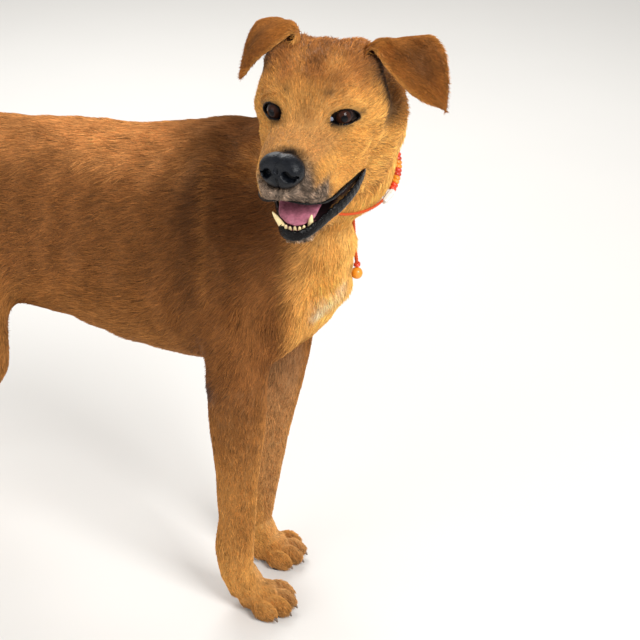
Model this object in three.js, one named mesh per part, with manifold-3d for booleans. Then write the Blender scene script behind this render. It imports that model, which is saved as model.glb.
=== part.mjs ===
// A short-coated, tan, medium-large dog standing square on four feet, its head turned
// to its right with the mouth open, and a beaded cord collar round its neck.
// Millimetres, +X the way the body points, +Y the dog's left, +Z up.
import * as THREE from 'three';
import { mergeVertices } from 'three/addons/utils/BufferGeometryUtils.js';
import Module from 'manifold-3d';

const wasm = await Module();
wasm.setup();

// ---- Driving dimensions ----
const GAP = 0.4; // clearance that every parting cut leaves
const REACH = 1500; // size of the blocks that part the body
const FLANK_REACH = 100; // half the depth of the ovals that part the upper legs
const WITHERS = 603; // height of the shoulders above the floor
const BELLY = 338; // height of the belly ahead of the thighs
const CHEST_FLOOR = 316; // height of the breastbone between the elbows
const CHEST_WIDE = 95; // half the width of the ribs
const FORE_CUT = 302; // height where each foreleg leaves the body
const HIND_CUT = 326; // height where each hind leg leaves the body
const PASTERN_CUT = 62; // height where each front paw is parted from its leg
const NECK_BASE = -12; // where the neck rises from the shoulders
const LOIN_FRONT = -222; // where the ribs end and the belly begins
const RUMP_FRONT = -347;
const TAIL_ROOT = -512;
const TAIL_CLEAR = 42; // half the width kept free for the tail between the thighs
const HOCK_CUT = 150; // height where the hind foot is parted from its shank
const HIP_HEIGHT = 478;
const KNEE_HEIGHT = 330;
const FORE_SET_BACK = 22; // left forefoot behind the right one
const FORE_SET_IN = 20; // left forefoot nearer the middle than the right one
const HIND_SET_BACK = 80; // left hind foot behind the right one
const EYE_HALF_SPACING = 31.5;
const EYES_ASIDE = -1.8; // middle of the two eyes, to the right of the skull's middle
const EYE_RADIUS = 10.8;
const EYE_LEVEL = 0.8;
const EYE_SET_BACK = -7; // centre of the eyeball behind the line of the lids
const COLLAR_RADIUS = 71.5;
const COLLAR_STEPS = 28;
const COLLAR_CORD = 4.7; // half the thickness of the beaded part
const COLLAR_THIN = 2.4; // half the thickness of the bare cord under the throat
const JAW_ASIDE = 1.5; // the lower teeth stand a little to the left of the middle
const PAW_WIDE = 27;

// The head's own frame: origin between the eyes, forward along the muzzle.
const BETWEEN_EYES = new THREE.Vector3(111, -152, 679);
const HEAD_TURN = -82.8; // degrees that the muzzle points to the dog's right

// The collar's ring, square to the neck.
const COLLAR_CENTRE = new THREE.Vector3(85, -6.2, 580.3);
const NECK_LINE = new THREE.Vector3(0.5, -0.45, 0.74).normalize();

const COAT = 0xa9682f;
const COAT_DARK = 0x7d4a26;
const COAT_PALE = 0xc28a4c;

// ---- Shape helpers ----

// A closed solid from any three.js geometry.
function solid(geometry) {
  const bare = geometry.clone();
  bare.deleteAttribute('normal');
  bare.deleteAttribute('uv');
  const merged = mergeVertices(bare, 1e-3);
  const shell = new wasm.Mesh({
    numProp: 3,
    vertProperties: new Float32Array(merged.attributes.position.array),
    triVerts: new Uint32Array(merged.index.array),
  });
  return new wasm.Manifold(shell);
}

// A smooth body carried through stations, each { at, size: [wide, over, under] }.
// Sections are superellipses: half as wide as `wide`, reaching `over` to one side of the
// line and `under` to the other; `across` is the direction that the width lies in.
function sweep({ stations, across = [0, 1, 0], steps = 12, sides = 14, square = 2.2, grow = 0 }) {
  const line = new THREE.CatmullRomCurve3(
    stations.map((s) => new THREE.Vector3(...s.at)), false, 'catmullrom', 0.5);
  const sizes = new THREE.CatmullRomCurve3(
    stations.map((s) => new THREE.Vector3(...s.size)), false, 'catmullrom', 0.5);
  const side = new THREE.Vector3(...across);
  const points = [];
  const bend = (value) => Math.sign(value) * Math.abs(value) ** (2 / square);
  for (let i = 0; i <= steps; i += 1) {
    const t = i / steps;
    const centre = line.getPoint(t);
    const along = line.getTangent(t);
    if (i === 0) centre.addScaledVector(along, -grow);
    if (i === steps) centre.addScaledVector(along, grow);
    const wide = side.clone().addScaledVector(along, -side.dot(along)).normalize();
    const over = along.clone().cross(wide);
    const size = sizes.getPoint(t).addScalar(grow);
    for (let k = 0; k < sides; k += 1) {
      const angle = (k / sides) * 2 * Math.PI;
      const rise = bend(Math.sin(angle));
      points.push(centre.clone()
        .addScaledVector(wide, size.x * bend(Math.cos(angle)))
        .addScaledVector(over, rise * (rise > 0 ? size.y : size.z)));
    }
  }
  return solid(tube(points, steps + 1, sides));
}

// Joins rings of points into a tube closed by a fan at each end.
function tube(points, rings, sides) {
  const faces = [];
  for (let i = 0; i < rings - 1; i += 1) {
    for (let k = 0; k < sides; k += 1) {
      const a = i * sides + k;
      const b = i * sides + ((k + 1) % sides);
      faces.push(a, b, a + sides, b, b + sides, a + sides);
    }
  }
  const last = (rings - 1) * sides;
  for (let k = 1; k < sides - 1; k += 1) {
    faces.push(0, k + 1, k);
    faces.push(last, last + k, last + k + 1);
  }
  const places = new THREE.Float32BufferAttribute(points.flatMap((p) => p.toArray()), 3);
  const geometry = new THREE.BufferGeometry();
  geometry.setAttribute('position', places);
  geometry.setIndex(faces);
  return geometry;
}

// An ellipsoid at `at`, turned by degrees about X, Y and Z.
function muscle(at, radii, turn = [0, 0, 0], rows = 5) {
  const geometry = new THREE.SphereGeometry(1, rows + 2, rows);
  geometry.rotateX(Math.PI / 2);
  geometry.scale(...radii);
  const euler = new THREE.Euler(...turn.map(THREE.MathUtils.degToRad), 'ZYX');
  geometry.applyMatrix4(new THREE.Matrix4().makeRotationFromEuler(euler));
  geometry.translate(...at);
  return solid(geometry);
}

// The half of space on the side of a plane that its normal points to.
function beyond(point, normal, shift = 0) {
  const geometry = new THREE.BoxGeometry(REACH, REACH, REACH);
  geometry.translate(0, 0, REACH / 2 + shift);
  const turn = new THREE.Quaternion().setFromUnitVectors(
    new THREE.Vector3(0, 0, 1), new THREE.Vector3(...normal).normalize());
  geometry.applyQuaternion(turn);
  geometry.translate(...point);
  return solid(geometry);
}

// Parts a solid in two at a plane: [the piece on the normal's side, the rest].
function cut(whole, point, normal) {
  const back = normal.map((n) => -n);
  return [
    whole.intersect(beyond(point, normal, GAP / 2)),
    whole.intersect(beyond(point, back, GAP / 2)),
  ];
}

// Takes a region out of a solid: [the piece inside it, the rest]. The region is a
// function that gives its solid, drawn in by the inset it is handed.
function take(whole, region) {
  return [whole.intersect(region(GAP / 2)), whole.subtract(region(-GAP / 2))];
}

// An oval patch of one flank, from `inner` outwards, its long axis tipped in side view.
function flank({ at: [x, z], long, wide, tip, side, inner }) {
  return (inset) => {
    const geometry = new THREE.CylinderGeometry(1, 1, 2 * FLANK_REACH, 14);
    geometry.scale(wide - inset, 1, long - inset);
    geometry.rotateY(THREE.MathUtils.degToRad(tip));
    geometry.translate(x, side * (inner + inset + FLANK_REACH), z);
    return solid(geometry);
  };
}

const join = (pieces) => pieces.reduce((sum, piece) => sum.add(piece));
const mirror = (at) => [at[0], -at[1], at[2]];

// ---- Trunk: ribs, belly, loin and rump in one body ----
function trunk() {
  const stations = [
    { at: [-506, 0, 487], size: [22, 26, 30] },
    { at: [-486, 0, 482], size: [58, 60, 76] },
    { at: [-440, 0, 474], size: [82, 88, 100] },
    { at: [-385, 0, 468], size: [88, 101, 118] },
    { at: [-320, 0, 460], size: [80, 109, 460 - BELLY] },
    { at: [-240, 0, 457], size: [82, 121, 457 - BELLY + 6] },
    { at: [-150, 0, 455], size: [90, 125, 144] },
    { at: [-70, 0, 455], size: [CHEST_WIDE, 141, 148] },
    { at: [0, 0, 458], size: [CHEST_WIDE - 2, 148, 458 - CHEST_FLOOR + 3] },
    { at: [48, 0, 462], size: [80, 112, 106] },
    { at: [84, 0, 470], size: [58, 74, 58] },
    { at: [101, 0, 478], size: [26, 34, 26] },
  ];
  return sweep({ stations, steps: 13, sides: 14, square: 2.25 });
}

// ---- Neck: from between the shoulders, bending to the right and up to the skull ----
function neck() {
  const stations = [
    { at: [-60, 4, 494], size: [66, 98, 104] },
    { at: [18, 6, 538], size: [76, 70, 88] },
    { at: COLLAR_CENTRE.toArray(), size: [COLLAR_RADIUS - 1, 69, 73] },
    { at: [98, -18, 612], size: [63, 61, 62] },
    { at: [112, -32, 648], size: [64, 58, 66] },
    { at: [111, -78, 676], size: [52, 44, 58] },
  ];
  return sweep({ stations, steps: 7, sides: 12, square: 2.1, across: [0.35, 0.94, 0] });
}

// ---- Muscles that stand out on the body ----
function shoulders() {
  return [-1, 1].flatMap((side) => [
    // Shoulder blade with its ridge, and the upper arm below the point of the shoulder.
    muscle([-16, side * 62, 500], [46, 32, 92], [side * 7, -20, 0]),
    muscle([16, side * 66, 408], [68, 34, 60], [0, 36, 0]),
    // Elbow, close against the ribs.
    muscle([-24, side * 80, 325], [22, 19, 34], [0, 10, 0], 5),
  ]);
}

function rump() {
  return [-1, 1].flatMap((side) => [
    muscle([-402, side * 55, 500], [74, 42, 56], [0, -12, 0]),
    muscle([-462, side * 48, 452], [46, 38, 76], [0, 10, 0]),
    // Fold of skin from the flank to the knee.
    muscle([-312, side * 62, 398], [31, 14, 52], [0, -10, 0], 5),
  ]);
}

// ---- Legs: a sweep from the body down to the foot ----
function foreleg(side, back, inward) {
  const out = (y, z = 320) => side * (y - inward * (1 - Math.min(1, z / 320)));
  const lean = (x, z) => x - back * (1 - Math.min(1, z / 320));
  const stations = [
    { at: [2, out(74), 385], size: [26, 44, 50] },
    { at: [-3, out(75), 318], size: [30, 36, 42] },
    { at: [lean(-6, 255), out(72, 255), 255], size: [29, 33, 37] },
    { at: [lean(-10, 190), out(69, 190), 190], size: [24, 26, 29] },
    { at: [lean(-14, 125), out(66, 125), 125], size: [21, 24, 25] },
    { at: [lean(-19, 82), out(63, 82), 82], size: [23, 25, 27] },
    { at: [lean(-18, 50), out(61, 50), 50], size: [22, 21, 22] },
    { at: [lean(-6, 26), out(59, 26), 26], size: [24, 20, 23] },
  ];
  return sweep({ stations, steps: 7, sides: 8, square: 2.3 });
}

function hindleg(side, back) {
  const out = (y) => side * y;
  const set = ({ at: [x, y, z], size }) => (
    { at: [x - back * Math.min(1, (HIP_HEIGHT - z) / (HIP_HEIGHT - KNEE_HEIGHT)), y, z], size });
  const stations = [
    { at: [-395, out(58), 478], size: [38, 82, 84] },
    { at: [-364, out(68), 410], size: [42, 80, 86] },
    { at: [-340, out(76), 346], size: [37, 50, 68] },
    { at: [-338, out(78), 288], size: [31, 42, 50] },
    { at: [-362, out(77), 236], size: [26, 37, 36] },
    { at: [-424, out(75), 202], size: [21, 24, 25] },
    { at: [-476, out(73), 176], size: [19.5, 22, 22] },
    { at: [-489, out(72), 146], size: [19, 20, 21] },
    { at: [-490, out(71), 110], size: [18, 18, 19] },
    { at: [-484, out(70), 62], size: [19, 18, 19] },
    { at: [-468, out(69), 28], size: [20, 18, 19] },
  ].map(set);
  const heel = muscle([-506 - back, out(72), 176], [15, 12, 26], [0, -22, 0], 5);
  return sweep({ stations, steps: 10, sides: 8, square: 2.2 }).add(heel);
}

// ---- Paw: a pad under the foot, four arched toes and their claws, cut flat below ----
function paw([x, y], turn, scale) {
  const pieces = [muscle([0, 0, 17], [27, PAW_WIDE - 3, 20], [0, 0, 0], 4)];
  [-1.5, -0.5, 0.5, 1.5].forEach((step) => {
    const ahead = Math.abs(step) > 1 ? 17 : 26;
    const aside = step * PAW_WIDE * 0.5;
    const splay = step * 5;
    pieces.push(muscle([ahead, aside, 13], [21, 8.6, 17], [0, 16, splay], 3));
    const claw = [
      { at: [ahead + 12, aside + step * 1.1, 13], size: [3.6, 4.4, 4.4] },
      { at: [ahead + 27, aside + step * 2.2, 4], size: [1.2, 1.4, 1.4] },
    ];
    pieces.push(sweep({ stations: claw, steps: 1, sides: 4, square: 2 }));
  });
  const place = new THREE.Matrix4().makeRotationZ(THREE.MathUtils.degToRad(turn))
    .scale(new THREE.Vector3(scale, scale, 1))
    .setPosition(x, y, 0);
  return join(pieces).transform(place.elements).intersect(beyond([0, 0, 0], [0, 0, 1]));
}

// ---- Tail: hangs from the croup in a shallow sabre curve ----
function tail() {
  const stations = [
    { at: [-466, 0, 512], size: [32, 32, 32] },
    { at: [-514, 0, 490], size: [25, 26, 26] },
    { at: [-550, 2, 440], size: [19, 21, 20] },
    { at: [-571, 5, 372], size: [17, 19, 17] },
    { at: [-583, 9, 292], size: [13, 15, 14] },
    { at: [-598, 12, 222], size: [8, 10, 9] },
    { at: [-612, 14, 186], size: [2.5, 3, 3] },
  ];
  return sweep({ stations, steps: 8, sides: 9, square: 2 });
}

// ---- Head, in its own frame: forward, left, up from between the eyes ----
function headPieces() {
  const skull = [
    { at: [-126, 0, 12], size: [20, 22, 24] },
    { at: [-114, 0, 4], size: [46, 42, 48] },
    { at: [-88, 0, -4], size: [62, 60, 62] },
    { at: [-58, 0, -6], size: [68.5, 64, 66] },
    { at: [-34, 0, -8], size: [66, 60, 62] },
    { at: [-12, 0, -12], size: [50, 53, 50] },
    { at: [6, 0, -16], size: [33, 38, 38] },
    { at: [28, 0, -22], size: [24, 26, 30] },
  ];
  const muzzle = [
    { at: [-14, 0, -34], size: [50, 34, 24] },
    { at: [14, -0.5, -31], size: [43, 36, 30] },
    { at: [40, -2, -31], size: [38, 34, 32] },
    { at: [64, -3.5, -31], size: [35.5, 33, 31] },
    { at: [84, -5, -31], size: [32, 31, 28] },
    { at: [95, -6.5, -30], size: [23.5, 23, 23] },
    { at: [99, -6.5, -28], size: [12, 12, 15] },
  ];
  // Cheekbones, wide under the eyes and running out into the muzzle.
  const cheeks = [
    { at: [-84, 0, -22], size: [50, 22, 34] },
    { at: [-50, 0, -24], size: [60, 24, 40] },
    { at: [-18, 0, -26], size: [58, 19, 34] },
    { at: [8, 0, -32], size: [48, 19, 28] },
    { at: [40, 0, -36], size: [34, 18, 24] },
  ];
  const jaw = [
    { at: [-80, 0, -44], size: [40, 28, 26] },
    { at: [-58, 0, -54], size: [50, 28, 32] },
    { at: [-26, 0, -62], size: [48, 22, 33] },
    { at: [8, 1.5, -74], size: [38, 16, 29] },
    { at: [40, 3, -82], size: [29.5, 12, 25] },
    { at: [64, 4, -86], size: [23.5, 8, 20] },
    { at: [78, 4, -88], size: [16, 6, 13] },
    { at: [84, 4, -89], size: [7.5, 3, 6] },
  ];
  const pair = (at, radii, turn = [0, 0, 0]) => [
    muscle(at, radii, turn),
    muscle(mirror(at), radii, [-turn[0], turn[1], -turn[2]]),
  ];
  return [
    sweep({ stations: skull, steps: 7, sides: 12, square: 2.15 }),
    sweep({ stations: muzzle, steps: 6, sides: 10, square: 2.35 }),
    sweep({ stations: cheeks, steps: 4, sides: 10, square: 2.2 }),
    sweep({ stations: jaw, steps: 6, sides: 10, square: 2.3 }),
    ...pair([-62, 30, 29], [46, 32, 29]), // temple
    ...pair([-15, 27, 15], [22, 20, 16], [0, 24, 0]), // brow
    ...pair([60, 15, -43], [34, 19, 19], [0, -4, 8]), // upper lip
    muscle([72, -20, -40], [24, 16, 18]), // the right flew, that the turned muzzle swings out
  ];
}

// The gape: an open wedge between the lips, and the hollow of the mouth behind them.
const MOUTH_CORNER = [-26, -60];
function mouth() {
  const wedge = new THREE.Shape();
  wedge.moveTo(...MOUTH_CORNER);
  wedge.quadraticCurveTo(14, -66, 44, -72);
  wedge.quadraticCurveTo(66, -83, 120, -86);
  wedge.lineTo(120, -38);
  wedge.quadraticCurveTo(86, -52, 62, -59);
  wedge.quadraticCurveTo(24, -61, ...MOUTH_CORNER);
  const slab = new THREE.ExtrudeGeometry(wedge, { depth: 160, bevelEnabled: false, curveSegments: 3 });
  slab.translate(0, 0, -80);
  slab.rotateX(Math.PI / 2);
  const hollow = [
    { at: [-46, 0, -60], size: [20, 8, 6] },
    { at: [-16, 0, -64], size: [33, 14, 12] },
    { at: [20, 2, -70], size: [28, 22, 16] },
    { at: [50, 3.5, -75], size: [21.5, 24, 13] },
    { at: [70, 4, -78], size: [13, 22, 9] },
    { at: [75, 4, -79], size: [6.5, 14, 6] },
  ];
  return solid(slab).add(sweep({ stations: hollow, steps: 6, sides: 8, square: 2.4 }));
}

function tongue(grow) {
  const stations = [
    { at: [-42, 0, -63], size: [14, 4, 3] },
    { at: [-14, 0, -67], size: [25, 8, 7] },
    { at: [18, 1, -74], size: [24, 9, 8] },
    { at: [44, 2, -78], size: [20, 8, 7] },
    { at: [60, 2, -80], size: [16, 6, 5] },
    { at: [66, 2, -81], size: [9, 3, 3] },
  ];
  return sweep({ stations, steps: 6, sides: 8, square: 2.4, grow });
}

// The gum that carries the lower front teeth, bent round the front of the jaw. Its bed in
// the jaw is the same shape, carried up by `rise` to clear the teeth.
function gum(grow, rise = 0) {
  const size = [4.5 + rise / 2, 3.7, 3.7];
  const stations = [
    { at: [46, JAW_ASIDE - 18, -87 + rise / 2], size },
    { at: [62, JAW_ASIDE - 14.5, -89 + rise / 2], size },
    { at: [74, JAW_ASIDE, -90 + rise / 2], size },
    { at: [62, JAW_ASIDE + 14.5, -89 + rise / 2], size },
    { at: [46, JAW_ASIDE + 18, -87 + rise / 2], size },
  ];
  return sweep({ stations, across: [0, 0, 1], steps: 8, sides: 6, square: 2.2, grow });
}

// Lower front teeth on their gum: two long canines, six incisors between them.
function teeth() {
  const canine = (side) => sweep({
    stations: [
      { at: [64, JAW_ASIDE + side * 13, -90], size: [3.8, 4, 4] },
      { at: [66, JAW_ASIDE + side * 15, -82], size: [3.4, 3.6, 3.6] },
      { at: [69, JAW_ASIDE + side * 17.5, -71], size: [0.9, 1, 1] },
    ],
    steps: 2, sides: 6, square: 2,
  });
  const incisor = (k) => {
    const angle = THREE.MathUtils.degToRad((k - 2.5) * 17);
    const ahead = 63 + 11.5 * Math.cos(angle);
    const aside = JAW_ASIDE + 13 * Math.sin(angle);
    const root = { at: [ahead, aside, -89], size: [1.6, 1.6, 1.6] };
    const crown = { at: [ahead + 0.5, aside, -80], size: [1.5, 1.2, 1.2] };
    return sweep({ stations: [root, crown], steps: 1, sides: 4, square: 2 });
  };
  return join([gum(0), canine(-1), canine(1), ...[0, 1, 2, 3, 4, 5].map(incisor)]);
}

function nose(grow) {
  const stations = [
    { at: [86, -7, -18], size: [19, 16, 15] },
    { at: [95, -7, -17.5], size: [22, 17, 18] },
    { at: [101, -7, -17.5], size: [20.5, 14.5, 15.5] },
    { at: [104.5, -7, -18], size: [13, 9, 9] },
  ];
  return sweep({ stations, steps: 4, sides: 12, square: 2.5, grow });
}

// A folded ear: a thin cambered leaf between its front and its rear edge.
function ear(front, rear, camber, grow) {
  const half = 3.4 + grow;
  const edge = (points) => new THREE.CatmullRomCurve3(
    points.map((p) => new THREE.Vector3(...p)), false, 'catmullrom', 0.5);
  const [a, b] = [edge(front), edge(rear)];
  const [steps, columns] = [8, 4];
  const points = [];
  for (let i = 0; i <= steps; i += 1) {
    const t = i / steps;
    const [from, to] = [a.getPoint(t), b.getPoint(t)];
    const chord = to.clone().sub(from);
    const along = a.getTangent(t).add(b.getTangent(t)).normalize();
    const out = along.clone().cross(chord).normalize();
    const reach = chord.clone().normalize();
    const leaf = (u, face) => {
      const bulge = camber * 4 * u * (1 - u) * (1 - 0.6 * t);
      const thick = face * half * (0.35 + 0.65 * Math.sqrt(4 * u * (1 - u)));
      return from.clone().addScaledVector(chord, u)
        .addScaledVector(reach, (u - 0.5) * 2 * grow)
        .addScaledVector(out, bulge + thick);
    };
    for (let k = 0; k <= columns; k += 1) points.push(leaf(k / columns, -1));
    for (let k = columns; k >= 0; k -= 1) points.push(leaf(k / columns, 1));
  }
  return solid(tube(points, steps + 1, 2 * (columns + 1)));
}

const EAR_LEFT = [
  [[-46, 38, 42], [-48, 50, 54], [-46, 64, 37], [-44, 87, 15], [-44, 105, 5], [-45, 120, -1]],
  [[-96, 44, 22], [-94, 72, 46], [-82, 99, 61], [-66, 116, 54], [-55, 123, 31], [-46, 126, -1]],
  7,
];
const EAR_RIGHT = [
  [[-44, -32, 44], [-54, -28, 62], [-50, -46, 50], [-52, -63, 35], [-60, -74, 22], [-67, -82, 9]],
  [[-92, -42, 26], [-97, -54, 57], [-86, -70, 63], [-77, -79, 51], [-73, -84, 30], [-69, -87, 9]],
  -7,
];

// ---- Collar: beads strung close on a cord, a flat clip, and a hanging end ----
function collarFrame() {
  const ahead = NECK_LINE;
  const left = new THREE.Vector3(0.35, 0.94, 0);
  left.addScaledVector(ahead, -left.dot(ahead)).normalize();
  const top = ahead.clone().cross(left);
  return (angle, radius) => COLLAR_CENTRE.clone()
    .addScaledVector(left, radius * Math.cos(angle))
    .addScaledVector(top, radius * Math.sin(angle));
}

// The cord is bare under the throat, from the clip round to the right of the neck.
const CLIP_ANGLE = THREE.MathUtils.degToRad(-72);
const BARE_END = THREE.MathUtils.degToRad(-150);

function collar(grow) {
  const at = collarFrame();
  const sides = 5;
  const points = [];
  const faces = [];
  for (let i = 0; i < COLLAR_STEPS; i += 1) {
    const angle = (i / COLLAR_STEPS) * 2 * Math.PI - Math.PI;
    const bare = angle < CLIP_ANGLE && angle > BARE_END;
    const half = (bare ? COLLAR_THIN : COLLAR_CORD) + grow;
    for (let k = 0; k < sides; k += 1) {
      const turn = (k / sides) * 2 * Math.PI;
      const point = at(angle, COLLAR_RADIUS + half * Math.cos(turn));
      points.push(point.addScaledVector(NECK_LINE, half * Math.sin(turn)));
      const [a, b] = [i * sides + k, i * sides + ((k + 1) % sides)];
      const [c, d] = [a, b].map((v) => (v + sides) % (COLLAR_STEPS * sides));
      faces.push(a, c, b, b, c, d);
    }
  }
  const geometry = new THREE.BufferGeometry();
  const places = new THREE.Float32BufferAttribute(points.flatMap((p) => p.toArray()), 3);
  geometry.setAttribute('position', places);
  geometry.setIndex(faces);
  return solid(geometry);
}

// The flat clip that closes the collar: a rounded bar lying along the ring.
function clip(grow) {
  const at = collarFrame();
  const out = COLLAR_RADIUS + 1;
  const along = [-0.13, -0.065, 0.065, 0.13].map((step) => at(CLIP_ANGLE + step, out).toArray());
  const size = [5.2 + grow, 3.6 + grow, 3.6 + grow];
  const tip = [3.4 + grow, 2.2 + grow, 2.2 + grow];
  const stations = along.map((point, i) => ({ at: point, size: i % 3 ? size : tip }));
  return sweep({ stations, across: NECK_LINE.toArray(), steps: 4, sides: 8, square: 3, grow });
}

// The loose end of the cord, lying down the left of the breast to a round bead.
const HANGING_BEAD = [103, 14, 438];
function hangingEnd(grow) {
  const start = collarFrame()(0, COLLAR_RADIUS + COLLAR_CORD + 3).toArray();
  const stations = [
    { at: start, size: [2.2, 2.2, 2.2] },
    { at: [100, 63, 556], size: [2.2, 2.2, 2.2] },
    { at: [87, 54, 502], size: [2.2, 2.2, 2.2] },
    { at: [96, 32, 458], size: [2.2, 2.2, 2.2] },
    { at: HANGING_BEAD, size: [2.2, 2.2, 2.2] },
  ];
  const strand = sweep({ stations, steps: 7, sides: 5, square: 2, grow });
  return strand.add(muscle(HANGING_BEAD, [7, 7, 8].map((r) => r + grow)));
}

// ---- Assembly ----
const group = new THREE.Group();
function add(name, body, color, roughness = 0.9) {
  const { vertProperties, triVerts } = body.getMesh();
  const geometry = new THREE.BufferGeometry();
  geometry.setAttribute('position', new THREE.BufferAttribute(vertProperties, 3));
  geometry.setIndex(new THREE.BufferAttribute(triVerts, 1));
  const mesh = new THREE.Mesh(geometry, new THREE.MeshStandardMaterial({ color, roughness }));
  mesh.name = name;
  group.add(mesh);
}

const UP = new THREE.Vector3(0, 0, 1);
const forward = new THREE.Vector3(1, 0, 0).applyAxisAngle(UP, THREE.MathUtils.degToRad(HEAD_TURN));
const headFrame = new THREE.Matrix4()
  .makeBasis(forward, UP.clone().cross(forward), UP)
  .setPosition(BETWEEN_EYES);
const toBody = (piece) => piece.transform(headFrame.elements);
const headPoint = (at) => new THREE.Vector3(...at).applyMatrix4(headFrame).toArray();
const headLine = (at) => new THREE.Vector3(...at).transformDirection(headFrame).toArray();

const eyeball = (side, grow) => muscle(
  [EYE_SET_BACK, EYES_ASIDE + side * EYE_HALF_SPACING, EYE_LEVEL],
  [1, 1, 1].map(() => EYE_RADIUS + grow));

// The opening between the lids, in front of each eyeball.
const lids = (side) => muscle(
  [6, EYES_ASIDE + side * 34.5, EYE_LEVEL], [15, 14, 7.5], [0, 0, side * 32], 5);

// What is set in the flesh, and the hollows that hold it clear.
const headHollows = join([
  mouth(), nose(GAP), eyeball(-1, GAP), eyeball(1, GAP), lids(-1), lids(1), gum(GAP + 4, 12), tongue(GAP),
  ear(...EAR_LEFT, GAP), ear(...EAR_RIGHT, GAP),
]);
const flesh = join([
  trunk(), neck(), toBody(join(headPieces())), tail(), ...shoulders(), ...rump(),
  foreleg(-1, 0, 0), foreleg(1, FORE_SET_BACK, FORE_SET_IN), hindleg(-1, 0), hindleg(1, HIND_SET_BACK),
  paw([7, -59], -4, 1.14), paw([7 - FORE_SET_BACK - 2, 58 - FORE_SET_IN], 6, 1.12),
  paw([-470, -70], -3, 0.94), paw([-470 - HIND_SET_BACK, 70], 3, 0.94),
]).subtract(toBody(headHollows)).subtract(collar(GAP)).subtract(clip(GAP)).subtract(hangingEnd(GAP));

// Head and jaw, parted from the neck behind the skull and from each other at the mouth.
const [headAndJaw, withoutHead] = cut(flesh, headPoint([-124, 0, 30]), headLine([0.93, 0, 0.365]));
const hinge = headPoint([MOUTH_CORNER[0], 0, MOUTH_CORNER[1]]);
const [head, lowerJaw] = cut(headAndJaw, hinge, headLine([0.1, 0, 1]));
add('head', head, COAT);
add('lower_jaw', lowerJaw, COAT_PALE);
add('nose', toBody(nose(0)), 0x2b2f36, 0.45);
add('tongue', toBody(tongue(0)), 0xa8606a, 0.5);
add('teeth_lower', toBody(teeth()), 0xe8d6ac, 0.35);
add('eye_right', toBody(eyeball(-1, 0)), 0x1c0f08, 0.1);
add('eye_left', toBody(eyeball(1, 0)), 0x1c0f08, 0.1);
add('ear_right', toBody(ear(...EAR_RIGHT, 0)), COAT_DARK);
add('ear_left', toBody(ear(...EAR_LEFT, 0)), COAT_DARK);

// The tail, then the fore and hind halves of what is left.
const tailRegion = (inset) => beyond([TAIL_ROOT, 0, 0], [-1, 0, 0], inset)
  .intersect(beyond([0, TAIL_CLEAR, 0], [0, -1, 0], inset))
  .intersect(beyond([0, -TAIL_CLEAR, 0], [0, 1, 0], inset));
const [tailPiece, withoutTail] = take(withoutHead, tailRegion);
const [foreHalf, hindHalf] = cut(withoutTail, [LOIN_FRONT, 0, 0], [1, 0, 0]);
const [foreBody, foreLegs] = cut(foreHalf, [0, 0, FORE_CUT], [0, 0, 1]);
const [hindBody, hindLegs] = cut(hindHalf, [0, 0, HIND_CUT], [0, 0, 1]);
add('tail', tailPiece, COAT);

// Each leg from the flank to the floor.
let foreTrunk = foreBody;
let hindTrunk = hindBody;
[['right', -1, 0], ['left', 1, HIND_SET_BACK / 2]].forEach(([name, side, back]) => {
  const half = beyond([0, 0, 0], [0, side, 0]);
  const shoulderOval = flank({ at: [-2, 400], long: 172, wide: 88, tip: -7, side, inner: 42.5 });
  const thighOval = flank({ at: [-400 - back, 412], long: 154, wide: 124, tip: -13, side, inner: 42 });
  const [shoulder, chestLeft] = take(foreTrunk, shoulderOval);
  const [thigh, rumpLeft] = take(hindTrunk, thighOval);
  foreTrunk = chestLeft;
  hindTrunk = rumpLeft;
  const [forearm, frontPaw] = cut(foreLegs.intersect(half), [0, 0, PASTERN_CUT], [0, 0, 1]);
  const [shank, foot] = cut(hindLegs.intersect(half), [0, 0, HOCK_CUT], [0, 0, 1]);
  const [hindFoot, hindPaw] = cut(foot, [0, 0, PASTERN_CUT], [0, 0, 1]);
  add(`shoulder_${name}`, shoulder, COAT);
  add(`forearm_${name}`, forearm, COAT_PALE);
  add(`front_paw_${name}`, frontPaw, COAT_PALE);
  add(`thigh_${name}`, thigh, COAT);
  add(`shank_${name}`, shank, COAT);
  add(`hind_foot_${name}`, hindFoot, COAT_PALE);
  add(`hind_paw_${name}`, hindPaw, COAT_PALE);
});

// Neck, chest, belly and rump.
const [neckPiece, chest] = cut(foreTrunk, [NECK_BASE, 0, WITHERS], [0.67, 0, 0.74]);
const [belly, rumpPiece] = cut(hindTrunk, [RUMP_FRONT, 0, 0], [1, 0, 0]);
add('neck', neckPiece, COAT);
add('chest', chest, COAT);
add('belly', belly, COAT);
add('rump', rumpPiece, COAT);
add('collar', collar(0).subtract(clip(GAP)), 0xd8411c, 0.6);
add('collar_clip', clip(0), 0xf2f0ea, 0.4);
add('collar_end', hangingEnd(0), 0xf0a020, 0.6);

// The reference point is on the floor, under the middle of the whole dog.
const box = new THREE.Box3().setFromObject(group);
const middle = box.getCenter(new THREE.Vector3());
group.position.set(-middle.x, -middle.y, 0);

export default group;
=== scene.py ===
"""A short-coated tan dog, standing with its head turned to its right, as a life-size model."""
import math

import bpy
import numpy as np
import openvdb
from bpy.props import FloatProperty, FloatVectorProperty, IntProperty, PointerProperty
from mathutils import Matrix, Vector


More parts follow.
